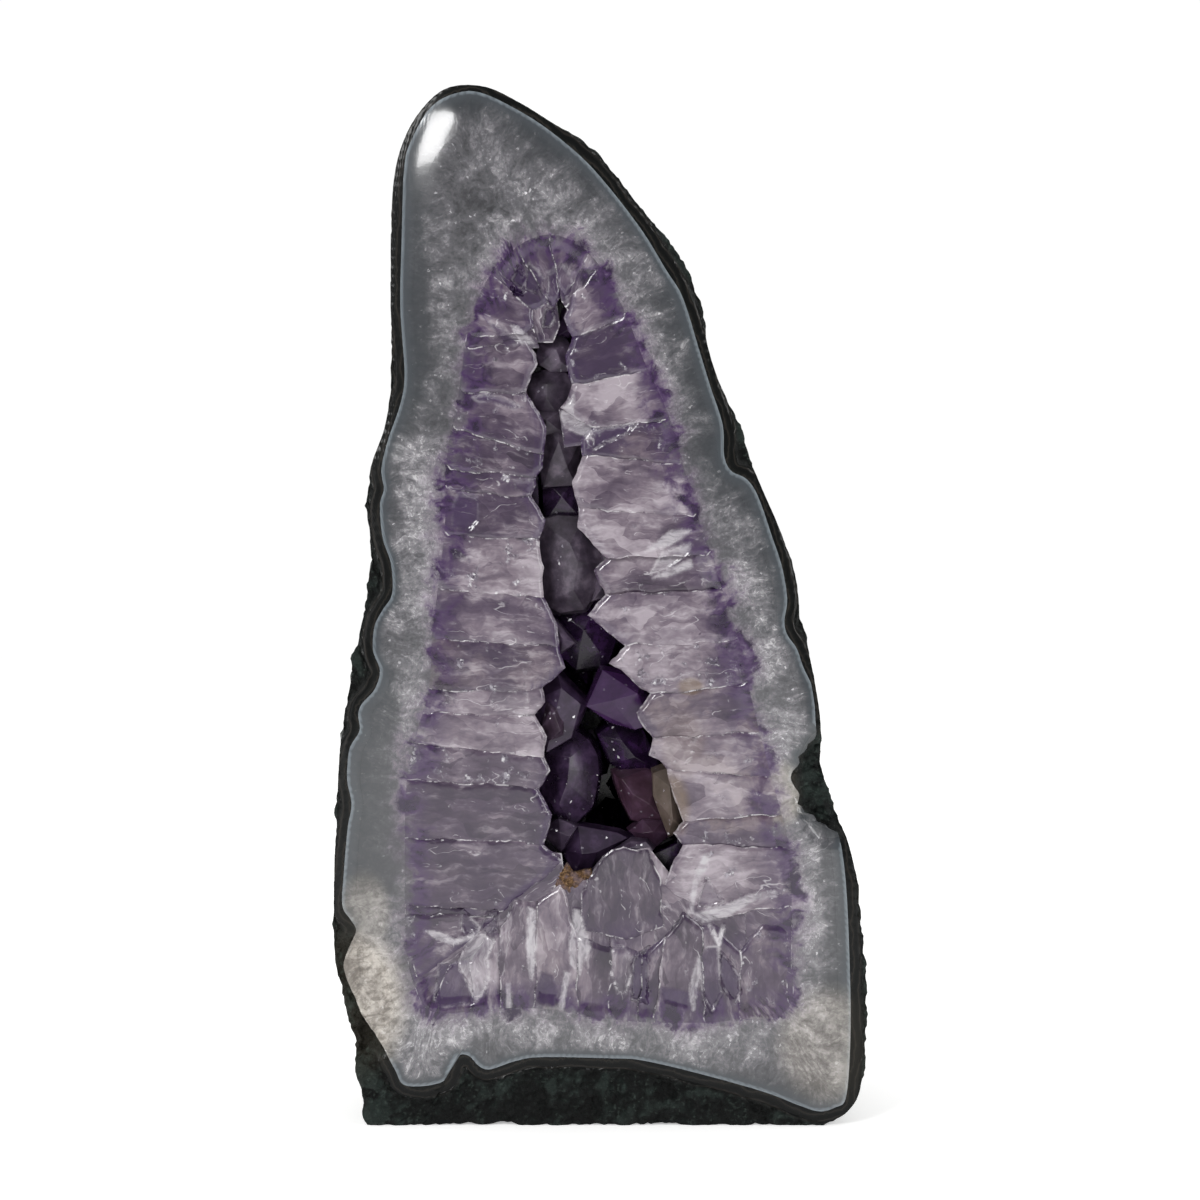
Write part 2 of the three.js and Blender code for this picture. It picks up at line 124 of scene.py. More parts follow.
def smoothLoop(corners, count):
    # closed Catmull-Rom through the corners, then evenly spaced points along it
    p1 = np.array(corners, float)
    p0, p2, p3 = np.roll(p1, 1, 0), np.roll(p1, -1, 0), np.roll(p1, -2, 0)
    t = np.linspace(0, 1, 12, endpoint=False)[:, None, None]
    curve = 0.5 * (2 * p1 + (p2 - p0) * t + (2 * p0 - 5 * p1 + 4 * p2 - p3) * t**2
                   + (3 * p1 - p0 - 3 * p2 + p3) * t**3)
    curve = curve.transpose(1, 0, 2).reshape(-1, 2)
    closed = np.vstack([curve, curve[:1]])
    run = np.concatenate([[0], np.cumsum(np.linalg.norm(np.diff(closed, axis=0), axis=1))])
    at = np.linspace(0, run[-1], count, endpoint=False)
    return np.column_stack([np.interp(at, run, closed[:, 0]), np.interp(at, run, closed[:, 1])])


def radiiOf(loop, angles):
    # how far each ray from the heart runs to the loop
    a = loop - heart
    edge = (np.roll(a, -1, 0) - a)[None]
    d = np.column_stack([np.cos(angles), np.sin(angles)])[:, None, :]
    turn = d[..., 0] * edge[..., 1] - d[..., 1] * edge[..., 0]
    far = (a[None, :, 0] * edge[..., 1] - a[None, :, 1] * edge[..., 0]) / turn
    share = (a[None, :, 0] * d[..., 1] - a[None, :, 1] * d[..., 0]) / turn
    hit = (share >= -1e-6) & (share <= 1 + 1e-6) & (far > 0)
    return np.where(hit, far, 0).max(1)


def smooth(value, low, high):
    t = np.clip((value - low) / (high - low), 0, 1)
    return t * t * (3 - 2 * t)


def chunks(points, size=3000):
    return np.array_split(np.arange(len(points)), max(1, len(points) // size))


def nearest(points, loop):
    # distance to the loop, and the part of the loop that each point grew from, softly averaged
    reach, seat = np.zeros(len(points)), np.zeros((len(points), 2))
    for some in chunks(points):
        d = np.linalg.norm(points[some][:, None] - loop[None], axis=2)
        w = (d + 0.5) ** -6.0
        reach[some] = d.min(1)
        seat[some] = (w @ loop) / w.sum(1)[:, None]
    return reach, seat


def inside(points, loop):
    a, b = np.asarray(loop, float), np.roll(loop, -1, 0)
    flat = np.where(b[:, 1] == a[:, 1], 1, b[:, 1] - a[:, 1])
    found = np.zeros(len(points), bool)
    for some in chunks(points):
        x, z = points[some, 0][:, None], points[some, 1][:, None]
        crosses = (a[:, 1] > z) != (b[:, 1] > z)
        found[some] = (crosses & (x < a[:, 0] + (z - a[:, 1]) / flat * (b[:, 0] - a[:, 0]))).sum(1) % 2 == 1
    return found


def edgeDistance(points, edges):
    if not edges:
        return np.full(len(points), 50.0)  # nothing near
    best = np.full(len(points), np.inf)
    for a, b in edges:
        d = b - a
        t = np.clip(((points - a) @ d) / (d @ d), 0, 1)
        best = np.minimum(best, np.linalg.norm(points - (a + t[:, None] * d), axis=1))
    return best


def edgesOf(loop):
    return list(zip(np.asarray(loop, float), np.roll(np.asarray(loop, float), -1, 0)))


def steppedAlong(a, b, step):
    # evenly spaced points from a, up to but without b
    steps = max(1, int(np.linalg.norm(b - a) / step))
    return [a + (b - a) * s / steps for s in range(steps)]


def spot(points, at, half):
    # a soft round patch: 1 in the middle, 0 outside
    return smooth(1 - np.linalg.norm((points - np.array(at)) / np.array(half), axis=1), -0.15, 0.35)


skinLoop = smoothLoop(ringOf("basalt_rind", 4.0), 900)
skinLoop[:, 1] = np.maximum(skinLoop[:, 1], 0)
agateLoop = smoothLoop(agateLine, 900)
rootLoop = smoothLoop(ringOf("quartz_bed", 0.0), 600)
spokes = smoothLoop(skinLoop, growth["columns"]) - heart
rays = np.arctan2(spokes[:, 1], spokes[:, 0])
skinReach = radiiOf(skinLoop, rays)
agateReach = np.minimum(radiiOf(agateLoop, rays), skinReach - 1.5)
rootReach = radiiOf(rootLoop, rays)
bedReach = agateReach - (agateReach - rootReach) * growth["agateShare"]


def fieldsAt(points):
    # what the growth of the stone was like at each point of the sawn face
    deep, seat = nearest(points, agateLoop[::2])
    deep = np.where(inside(points, agateLoop), deep, -deep)
    bed, _ = nearest(points, rootLoop[::2])
    bed = np.where(inside(points, rootLoop), bed, -bed)
    found = dict(growthSpace=np.column_stack([seat[:, 0], deep, seat[:, 1]]), growth=deep, bed=bed)
    found["chip"] = np.max([spot(points, c["at"], c["half"]) * c["basalt"] for c in chips.values()], axis=0)
    for stain, places in stains.items():
        found[stain] = np.max([spot(points, at, half) * share for at, half, share in places], axis=0)
    return found


def setbackAt(points):
    # how far the polished face lies behind the saw plane
    rim, _ = nearest(points, skinLoop[::3])
    wide = smooth(-points[:, 0], -5, 35) * smooth(points[:, 1], 130, 290)
    width = polish["narrow"] + (polish["broad"] - polish["narrow"]) * wide
    drop = polish["narrowDrop"] + (polish["broadDrop"] - polish["narrowDrop"]) * wide
    drop = polish["footDrop"] + (drop - polish["footDrop"]) * smooth(points[:, 1], 8, 45)
    drop = drop * np.clip(1 - rim / width, 0, 1) ** 2
    rough = np.array([noise.fractal(Vector((x, 0, z)) / 6, 1.0, 2.0, 3) for x, z in points])
    for chip in chips.values():
        drop = drop + spot(points, chip["at"], chip["half"]) * chip["deep"] * (0.75 + 0.6 * rough)
    return drop


def makePiece(name, corners, faces, fields=None, creaseAngle=None):
    mesh = bpy.data.meshes.new(name)
    mesh.from_pydata((np.asarray(corners) / 1000).tolist(), [], faces)
    for key, value in (fields or {}).items():
        value = np.asarray(value, np.float32)
        isVector = value.ndim == 2
        layer = mesh.attributes.new(key, "FLOAT_VECTOR" if isVector else "FLOAT", "POINT")
        layer.data.foreach_set("vector" if isVector else "value", value.ravel())
    work = bmesh.new()
    work.from_mesh(mesh)
    bmesh.ops.recalc_face_normals(work, faces=work.faces)
    work.to_mesh(mesh)
    work.free()
    mesh.shade_smooth()
    if creaseAngle:
        mesh.set_sharp_from_angle(angle=math.radians(creaseAngle))
    piece = bpy.data.objects.new(name, mesh)
    bpy.context.scene.collection.objects.link(piece)
    return piece


# rind, agate and quartz bed: one nested shell each, ruled on the same spokes


def alongRays(reach):
    return heart + np.column_stack([np.cos(rays), np.sin(rays)]) * reach[:, None]


def podRows(reach, pole, depth, rows, front):
    # rings of one growth surface, from the face back to its pole
    edge = alongRays(reach)
    made = []
    for k in range(rows):
        turn = k / rows * math.pi / 2
        share, sunk = math.cos(turn) ** (2 / growth["bend"]), math.sin(turn) ** (2 / growth["bend"])
        flat = np.array(pole) + (edge - pole) * share
        y = np.full(len(rays), faceY + front + (depth - front) * sunk)
        made.append(np.column_stack([flat[:, 0], y, np.maximum(flat[:, 1], 0)]))
    return made, np.array([pole[0], faceY + depth, pole[1]])


def growthRows(reach, name):
    # where one layer starts, from the face back to its pole
    pole, depth = growth["poles"][name], growth["depths"][name]
    return podRows(reach, pole, depth, growth["rings"][name], growth["lips"][name])


def liningRows(reach, name):
    # the inside of the layer outside that one, just clear of it
    (x, z), depth = growth["poles"][name], growth["depths"][name] + growth["clearance"]
    return podRows(reach, (x, z - 1), depth, growth["rings"][name], growth["lips"][name])


def faceRows(outer, inner, count):
    made = []
    for t in np.linspace(0, 1, count):
        flat = alongRays(outer + (inner - outer) * t)
        made.append(np.column_stack([flat[:, 0], faceY + setbackAt(flat), flat[:, 1]]))
    return made


def layer(name, outer, inner, front):
    # outer surface back to front, the sawn face, then the inner surface front to back
    (outRows, outPole), (inRows, inPole) = outer, inner
    rows = outRows[:0:-1] + front + inRows[1:]
    corners = np.vstack([outPole[None], np.vstack(rows), inPole[None]])
    count = len(rays)
    j = np.arange(count)
    n = (j + 1) % count
    faces = []
    for r in range(len(rows) - 1):
        a, b = 1 + r * count, 1 + (r + 1) * count
        faces += np.column_stack([a + j, a + n, b + n, b + j]).tolist()
    last = 1 + (len(rows) - 1) * count
    faces += np.column_stack([np.zeros(count, int), 1 + n, 1 + j]).tolist()
    faces += np.column_stack([np.full(count, last + count), last + j, last + n]).tolist()
    return makePiece(name, corners, faces, fieldsAt(corners[:, [0, 2]]), creaseAngle=50)


rindShape = dict(
    rows=46, blur=5, lift=0.06,  # the outer skin follows the solid's skin, softened
    middle=(0, 30, 100),  # it is lifted away from here: x, depth, z
    inset=0.3,  # its inside stands this far out from the agate
    lumps=((1.35, 7.0), (0.7, 22.0), (0.45, 2.4)),  # height and size of its knobs
    worn=1.3,  # the broken rock lies this far behind the polish
    polishedTo=3.0,  # how far out from the agate line the polish reaches
)


def buildRind():
    tree = BVHTree.FromObject(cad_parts["basalt_rind"], bpy.context.evaluated_depsgraph_get())
    skinPole, lip = growth["poles"]["skin"], growth["lips"]["skin"]
    rows, pole = podRows(skinReach, skinPole, bodyDepth, rindShape["rows"], lip)
    stack = np.array(rows)
    x, depth, z = rindShape["middle"]
    middle = np.array([x, faceY + depth, z])
    for k in range(1, len(stack)):
        outside = stack[k] + (stack[k] - middle) * rindShape["lift"]
        stack[k] = [tree.find_nearest(Vector(p / 1000))[0] * 1000 for p in outside]
    for _ in range(rindShape["blur"]):
        blur = (np.roll(stack, 1, 1) + np.roll(stack, -1, 1) + 2 * stack) / 4
        blur[1:-1] = (blur[:-2] + blur[2:] + 2 * blur[1:-1]) / 4
        stack[1:] = blur[1:]
    stack[..., 2] = np.where(stack[..., 2] < 1.0, 0, stack[..., 2])  # the foot is flat
    front = faceRows(skinReach, agateReach + growth["hairline"], growth["faceRows"]["skin"])
    stack[0] = front[0]
    lining = liningRows(agateReach + rindShape["inset"], "agate")
    rind = layer("basaltRind", (list(stack), pole), lining, front)
    # knobbly outside the polished edge
    mesh = rind.data
    count = len(mesh.vertices)
    corners, normals = np.empty(count * 3), np.empty(count * 3)
    deep, chip = np.empty(count), np.empty(count)
    mesh.vertices.foreach_get("co", corners)
    mesh.vertex_normals.foreach_get("vector", normals)
    mesh.attributes["growth"].data.foreach_get("value", deep)
    mesh.attributes["chip"].data.foreach_get("value", chip)
    corners, normals = corners.reshape(-1, 3) * 1000, normals.reshape(-1, 3)
    loose = np.maximum(smooth(-deep, rindShape["polishedTo"], 6), smooth(corners[:, 1] - faceY, 5, 9))
    loose = np.maximum(loose, chip * 0.8)
    raised = np.zeros(count, np.float32)
    for i in np.nonzero(loose)[0]:
        p = Vector(corners[i])
        bump = sum(tall * noise.fractal(p / size, 0.9, 2.1, 4) for tall, size in rindShape["lumps"])
        raised[i] = bump * loose[i]
        corners[i] += normals[i] * raised[i]
        corners[i, 1] += rindShape["worn"] * loose[i] * smooth(faceY + 9 - corners[i, 1], 0, 5)
    corners[:, 2] = np.where(corners[:, 2] < 0.8, np.maximum(corners[:, 2], 0), corners[:, 2])
    corners[:, 1] = np.maximum(corners[:, 1], faceY)
    mesh.vertices.foreach_set("co", (corners / 1000).ravel())
    mesh.attributes.new("raised", "FLOAT", "POINT").data.foreach_set("value", raised)
    mesh.update()
    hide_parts("basalt_rind")
    return rind


def buildAgate():
    front = faceRows(agateReach, bedReach + growth["hairline"], growth["faceRows"]["agate"])
    agate = layer("agateBand", growthRows(agateReach, "agate"), liningRows(bedReach, "bed"), front)
    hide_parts("agate_band")
    return agate


def buildQuartz():
    front = faceRows(bedReach, rootReach, growth["faceRows"]["bed"])
    quartz = layer("quartzBed", growthRows(bedReach, "bed"), growthRows(rootReach, "roots"), front)
    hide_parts("quartz_bed")
    return quartz


rind, agate, quartz = buildRind(), buildAgate(), buildQuartz()
print("rind, agate and quartz bed built")

# the sawn crystals, one piece for each solid

sawnRow = dict(
    seamHalf=0.43,  # the solids stand this far back from the seam that neighbours share
    waver=((1.2, 9.0), (0.4, 3.0)),  # how far, and over what length, a seam wanders
    grain=0.72, drawnGrain=0.5,  # mesh spacing on the face, and along flakes and windows
    tuck=0.3,  # the roots go this far under the quartz
    thick=14.0,
    groove=(0.15, 0.9), grooveWide=0.45,  # depth of the seams, from place to place, and their width
    rimWide=0.45,  # half width of the bright outline of a flake or window
    tipRound=2.2, tipDrop=1.5,
    backRows=((0.2, 0.03), (0.5, 0.12), (1.0, 0.3)),  # how deep each row is, and how far its point draws in
    behindFrom=60,  # the crystals behind draw their chances from this number on
)

# how each crystal differs: violet, pale, sugary, brown, and how far it is sunk
crystalLooks = dict(
    left_crystal_01=(0.25, 0.15, 0.1, 0, 0.3), left_crystal_02=(0.45, 0.1, 0.2, 0, 0.1),
    left_crystal_03=(0.55, 0, 0.35, 0, 0.5), left_crystal_04=(0.6, 0, 0.3, 0, 0.9),
    left_crystal_05=(0.45, 0.05, 0.05, 0, 0.4), left_crystal_06=(0, 0.6, 0.5, 0, 0),
    left_crystal_07=(0.35, 0.25, 0.15, 0, 0.2), left_crystal_08=(0.5, 0.25, 0.35, 0.1, 0),
    left_crystal_09=(0.1, 0.7, 0.2, 0, 0.4), left_crystal_10=(0.1, 0.45, 0.1, 0, 0.1),
    left_crystal_11=(0.25, 0.35, 0.6, 0, 0.2), left_crystal_12=(0.45, 0.1, 0, 0, 0),
    left_crystal_13=(0.5, 0.15, 0.05, 0, 0.1), right_crystal_01=(0.5, 0.15, 0.3, 0, 0.4),
    right_crystal_02=(0.75, 0.05, 0.3, 0, 0.5), right_crystal_03=(0.15, 0.4, 0.1, 0, 0),
    right_crystal_04=(0.7, 0, 0.4, 0.15, 0.8), right_crystal_05=(0.1, 0.5, 0.05, 0, 0),
    right_crystal_06=(0.15, 0.5, 0.1, 0, 0.1), right_crystal_07=(0.15, 0.0, 0.1, 0, 2.6),
    right_crystal_08=(0.25, 0.3, 0, 0, 0), right_crystal_09=(0.05, 0.55, 0.55, 0, 0.2),
    right_crystal_10=(0.2, 0.25, 0.2, 0.3, 0.5), right_crystal_11=(0.15, 0.5, 0.4, 0.3, 0),
    right_crystal_12=(0.1, 0.6, 0.2, 0.2, 0.1), right_crystal_13=(0.3, 0.1, 0.4, 0.35, 0.8),
    right_crystal_14=(0, 0.45, 0.3, 0, 0), arch_crystal=(0.45, 0.1, 0.05, 0, 0.6),
    corner_crystal=(0.4, 0.3, 0.5, 0, 0.4), roof_crystal_01=(0.5, 0.05, 0.2, 0, 0.4),
    roof_crystal_02=(0.85, 0, 0.3, 0, 0.8), roof_crystal_03=(0.8, 0, 0.3, 0, 0.5),
    roof_crystal_04=(0.75, 0.05, 0.1, 0, 0.6), floor_crystal_01=(0.45, 0.1, 0.3, 0.1, 0.4),
    floor_crystal_02=(0.25, 0.35, 0.1, 0, 0.5), floor_crystal_03=(0.1, 0.5, 0.3, 0, 0.1),
    floor_crystal_04=(0.15, 0.3, 0, 0.1, 0.2), floor_crystal_05=(0.2, 0.3, 0.05, 0, 0.4),
    floor_crystal_06=(0.35, 0.25, 0.1, 0, 0.3), floor_crystal_07=(0.45, 0.15, 0, 0, 0.5),
    floor_crystal_08=(0.15, 0.35, 0.05, 0, 0), floor_crystal_09=(0.3, 0.15, 0.1, 0, 0.3),
    floor_crystal_10=(0.35, 0.2, 0.35, 0.1, 0.1),
)

# flakes, windows and fractures in the face: pale or deep violet, how far sunk, how bright their outline is
faceShapes = dict(
    lens=dict(pale=0.7, sink=-0.4, rim=0.5, outline=[
        (-9.3, 79.6), (-7.5, 79), (-3.6, 65.7), (-7.5, 56.1), (-10.6, 59.7), (-10.9, 68.1)]),
    brightSliver=dict(pale=1.0, sink=-0.5, rim=0.6, outline=[
        (-26.2, 80.2), (-23.8, 79), (-23.2, 66.9), (-24.7, 53.7), (-25.9, 57.3), (-26.5, 66.9)]),
    flake=dict(pale=0.5, sink=-0.5, rim=0.9, outline=[
        (-47.9, 69.3), (-43.1, 70.5), (-38.6, 67.8), (-41.3, 62.1), (-40.4, 53.7), (-45.5, 45.2),
        (-48.2, 52.5), (-52.1, 60.3), (-49.1, 65.1)]),
    outlined=dict(pale=0.1, sink=-0.2, rim=0.8, outline=[
        (4.5, 67.5), (8.7, 65.7), (12.3, 61.5), (12, 56.7), (9.3, 49.4), (6.9, 48.8), (4.5, 54.9)]),
    cornerWindow=dict(deep=0.5, sink=1.2, rim=0.6, outline=[
        (-50.3, 79), (-43.7, 72.9), (-49.1, 70.2), (-50.9, 73.5)]),
    cornerCrescent=dict(pale=1.0, sink=-0.2, rim=0.6, outline=[
        (-63.6, 71.7), (-58.7, 71.1), (-53.3, 68.7), (-46.1, 70.5), (-43.7, 72.6), (-46.7, 68.5),
        (-53.3, 66.8), (-59.3, 68.6)]),
    cleft=dict(deep=0.45, sink=1.6, rim=0.3, outline=[
        (-40.7, 79), (-37.1, 79), (-37.7, 72.9), (-38.6, 67.8), (-43.7, 72.3)]),
    floorDark1=dict(deep=0.75, sink=1.0, rim=0.25, outline=[
        (-58.7, 59.7), (-52.1, 59.7), (-48.2, 52.5), (-45.5, 45.2), (-58.7, 43.4), (-60.6, 46.4)]),
    floorDark2=dict(deep=0.8, sink=0.8, rim=0, outline=[
        (-21.4, 56.7), (-17.2, 55.5), (-15.4, 48.8), (-16.6, 44), (-22, 45.2), (-23.2, 51.2)]),
    floorDark3=dict(deep=0.85, sink=1.8, rim=0.4, outline=[
        (12.3, 61.5), (17.8, 65.7), (17.2, 45.2), (11.7, 46.4), (11.4, 52.5)]),
    rootWhite1=dict(pale=0.9, sink=0, rim=0.3, outline=[
        (-13, 56.7), (-11.2, 56.1), (-13.6, 42.8), (-14.8, 44)]),
    rootWhite2=dict(pale=0.9, sink=0, rim=0.3, outline=[
        (-34, 52.5), (-33, 52.5), (-32.5, 42.8), (-33.9, 41.6)]),
    rightDark1=dict(deep=0.8, sink=1.9, rim=0.5, outline=[
        (44, 64), (47.6, 59.8), (50.7, 55), (51.3, 49), (49.5, 45.4), (45.2, 50.2), (43.7, 56.2)]),
    rightDark2=dict(deep=0.45, sink=0.8, rim=0.6, outline=[
        (36.2, 61), (39.2, 65.9), (43.4, 65.9), (43.7, 56.2), (44.6, 49), (41, 42.4), (37.4, 49)]),
    rightDark3=dict(deep=0.8, sink=0.3, rim=0, outline=[
        (21.7, 51.4), (28.4, 50.2), (33.2, 49), (32, 43.6), (23.6, 46)]),
    whiteWedge=dict(pale=0.9, sink=-0.3, rim=0.8, outline=[
        (39.8, 73.7), (41, 73.7), (43.1, 67.7), (44.6, 73.7), (45.5, 73.7), (43.4, 66.2)]),
    whiteStem=dict(pale=0.7, sink=-0.1, rim=0.4, outline=[
        (33.2, 46), (32.9, 50.8), (35.6, 62.2), (36.8, 62.2), (35.9, 55), (34.1, 42.4)]),
    clearTriangle=dict(deep=0.35, sink=1.4, rim=0.7, outline=[
        (38.6, 91.2), (45.2, 82.7), (41, 80.3), (35.6, 80.9)]),
    clearRib=dict(pale=1.0, sink=-0.3, rim=0.3, outline=[
        (38, 100.2), (39.5, 100.2), (38.9, 94.8), (35.6, 89.9), (33.8, 77.9), (32.6, 78.5),
        (34.4, 91.2)]),
    clearEdge=dict(pale=0.9, sink=-0.2, rim=0.2, outline=[
        (33.8, 78), (38, 75), (46, 76.6), (56, 83), (64, 84.5), (64, 86.5), (55, 85.5), (46.5, 81.5),
        (40, 79.5)]),
    notchWhite=dict(pale=0.9, sink=0.2, rim=0.4, outline=[
        (67.5, 118.3), (74.8, 117.1), (86.2, 108.6), (83.8, 105), (76.6, 106.8), (68.1, 108.6)]),
    shardUpper=dict(pale=0.8, sink=-0.3, rim=0.4, outline=[
        (16.2, 210.2), (25.6, 217.8), (33, 218), (25, 212.4)]),
    shardMiddle=dict(pale=0.6, sink=0.5, rim=0.5, outline=[
        (18.3, 202), (22.7, 209.8), (33, 213), (32, 209.6), (25, 204.5)]),
    shardLower=dict(pale=0.9, sink=-0.2, rim=0.3, outline=[
        (19.4, 200.7), (33, 207.2), (33.5, 204.7), (24, 201.2)]),
    rootBlock=dict(deep=0.6, sink=0.6, rim=0.05, outline=[
        (-51.5, 231.4), (-44.4, 230.2), (-44.4, 221.4), (-47.3, 218.1), (-53.9, 218.9), (-53.6, 226.4)]),
    leftLens=dict(deep=0.3, sink=0.9, rim=0.3, outline=[
        (-31.1, 236), (-23.2, 236.4), (-22.3, 231.4), (-26.5, 231), (-30.7, 233.1)]),
    clearBar=dict(pale=0.15, sink=0.1, rim=0.4, outline=[
        (-39, 159.7), (-26.5, 158.9), (-25.7, 150.5), (-39.8, 153.9)]),
    upperDark=dict(deep=0.5, sink=1.0, rim=0.4, outline=[
        (-2.3, 254), (13.5, 257.3), (10.2, 253.1), (1.9, 249.8), (-2.3, 247.3)]),
    roofDark1=dict(deep=0.9, sink=2.4, rim=0.3, outline=[
        (-29.6, 313.5), (-27.1, 308.4), (-28.6, 305.3), (-32.2, 308.4)]),
    roofDark2=dict(deep=0.6, sink=1.6, rim=0.3, outline=[
        (-26, 314.5), (-23, 312.4), (-19.9, 308.9), (-23, 303.8), (-27.1, 305.3)]),
    roofDark3=dict(deep=0.75, sink=2.4, rim=0.5, outline=[
        (-19.9, 298.2), (-16.9, 297.7), (-16.4, 295.1), (-18.4, 291.5), (-21, 292)]),
    roofHole=dict(deep=1.0, sink=3.0, rim=0, outline=[
        (-32.2, 305.8), (-29.1, 305.3), (-28.1, 303.3), (-31.1, 303)]),
    roofWhite=dict(pale=0.8, sink=-0.2, rim=0.5, outline=[
        (-32.2, 292), (-29.6, 291.5), (-23.5, 285.9), (-28.1, 285.4)]),
    roofViolet=dict(deep=0.55, sink=0.8, rim=0.2, outline=[
        (-40.3, 293.1), (-35.7, 291.5), (-29.1, 285.9), (-34.2, 284.4)]),
    roofRound=dict(deep=0.4, sink=1.2, rim=0.2, outline=[
        (-18.9, 310.9), (-13.8, 314.5), (-10.2, 310.4), (-9.7, 307.3), (-12.3, 300.2), (-18.9, 299.2)]),
    leftArc=dict(deep=0.7, sink=0.7, rim=0.3, outline=[
        (-46.4, 266), (-41.9, 267.3), (-36.2, 266), (-28.1, 262.5), (-32.2, 262), (-39.3, 264.5),
        (-43.9, 264.5)]),
    rightLip=dict(pale=0.7, sink=0, rim=0.5, outline=[
        (-14.3, 259.9), (-9.7, 267.1), (-9.7, 259.4), (-3.6, 255.3), (-3.1, 251.3), (-12.8, 255.3)]),
)


def wander(points):
    # neighbours share their seams, so seams wander together; roots stay on the bed
    held, _ = nearest(points, rootLoop)
    out = points.copy()
    for i, (x, z) in enumerate(points):
        for far, size in sawnRow["waver"]:
            far *= smooth(held[i], 0, 5)
            out[i, 0] += far * noise.noise(Vector((x, 17.3, z)) / size)
            out[i, 1] += far * noise.noise(Vector((x, 71.9, z)) / size)
    return out


def faceCorners(node):
    # the crystal's outline on the saw plane, grown out to the seam line
    corners = np.array([v.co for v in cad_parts[node].data.vertices]) * 1000
    front = np.unique(np.round(corners[corners[:, 1] < faceY + 0.05][:, [0, 2]], 2), axis=0)
    off = front - front.mean(0)
    front = front[np.argsort(np.arctan2(off[:, 1], off[:, 0]))]
    edge = np.roll(front, -1, 0) - front
    outward = np.column_stack([edge[:, 1], -edge[:, 0]]) / np.linalg.norm(edge, axis=1)[:, None]
    before = np.roll(outward, 1, 0)
    turn = 1 + (outward * before).sum(1)
    return front + (outward + before) / np.maximum(turn, 0.5)[:, None] * sawnRow["seamHalf"]


def shapeFields(points):
    # what the flakes and windows do at each point of the face
    made = {key: np.zeros(len(points)) for key in ("pale", "deep", "rim", "sink")}
    for shape in faceShapes.values():
        outline = np.array(shape["outline"])
        near = (np.abs(points - outline.mean(0)) < np.ptp(outline, axis=0) * 0.75 + 2).all(1)
        if not near.any():
            continue
        some = points[near]
        d = edgeDistance(some, edgesOf(outline))
        within = smooth(np.where(inside(some, outline), -d, d), 0.25, -0.25)
        for key in ("pale", "deep"):
            made[key][near] = np.maximum(made[key][near], within * shape.get(key, 0))
        made["sink"][near] += within * shape["sink"]
        rim = shape["rim"] * np.exp(-((d / sawnRow["rimWide"]) ** 2))
        made["rim"][near] = np.maximum(made["rim"][near], rim)
    return made


def outlineOf(node):
    # the seam outline as closely spaced points, each marked root, seam or free
    corners = faceCorners(node)
    count = len(corners)
    bed, _ = nearest(corners, rootLoop)
    rooted = set(np.argsort(bed)[:2].tolist()) if bed.min() < 4 else set()
    loop, kinds = [], []
    for i in range(count):
        a, b = corners[i], corners[(i + 1) % count]
        pair = {i, (i + 1) % count}
        kind = "root" if pair == rooted else "seam" if pair & rooted or not rooted else "free"
        steps = steppedAlong(a, b, sawnRow["grain"])
        loop += steps
        kinds += [kind] * len(steps)
    loop = wander(np.array(loop))
    for i, kind in enumerate(kinds):
        if kind == "root" or kinds[i - 1] == "root":
            off = loop[i] - heart
            reach = radiiOf(rootLoop, np.array([math.atan2(off[1], off[0])]))[0] + sawnRow["tuck"]
            loop[i] = heart + off / np.linalg.norm(off) * reach
    rootMid = corners[list(rooted)].mean(0) if rooted else corners[np.argmin(corners[:, 1])]
    return loop, kinds, rootMid


def facePoints(loop, rng):
    # jittered points inside the outline, with the edges of flakes and windows among them
    step = sawnRow["grain"]
    low, high = loop.min(0), loop.max(0)
    grid = np.array([
        (x + rng.uniform(-0.3, 0.3) * step, z + rng.uniform(-0.3, 0.3) * step)
        for x in np.arange(low[0], high[0], step) for z in np.arange(low[1], high[1], step)
    ])
    drawn = []
    for shape in faceShapes.values():
        for a, b in edgesOf(shape["outline"]):
            drawn += steppedAlong(a, b, sawnRow["drawnGrain"])
    drawn = np.array(drawn)
    drawn = drawn[((drawn > low) & (drawn < high)).all(1)]
    if len(drawn):
        away = np.linalg.norm(grid[:, None] - drawn[None], axis=2).min(1)
        grid = np.vstack([grid[away > 0.35], drawn])
    grid = grid[inside(grid, loop)]
    return grid[edgeDistance(grid, edgesOf(loop)) > 0.4]


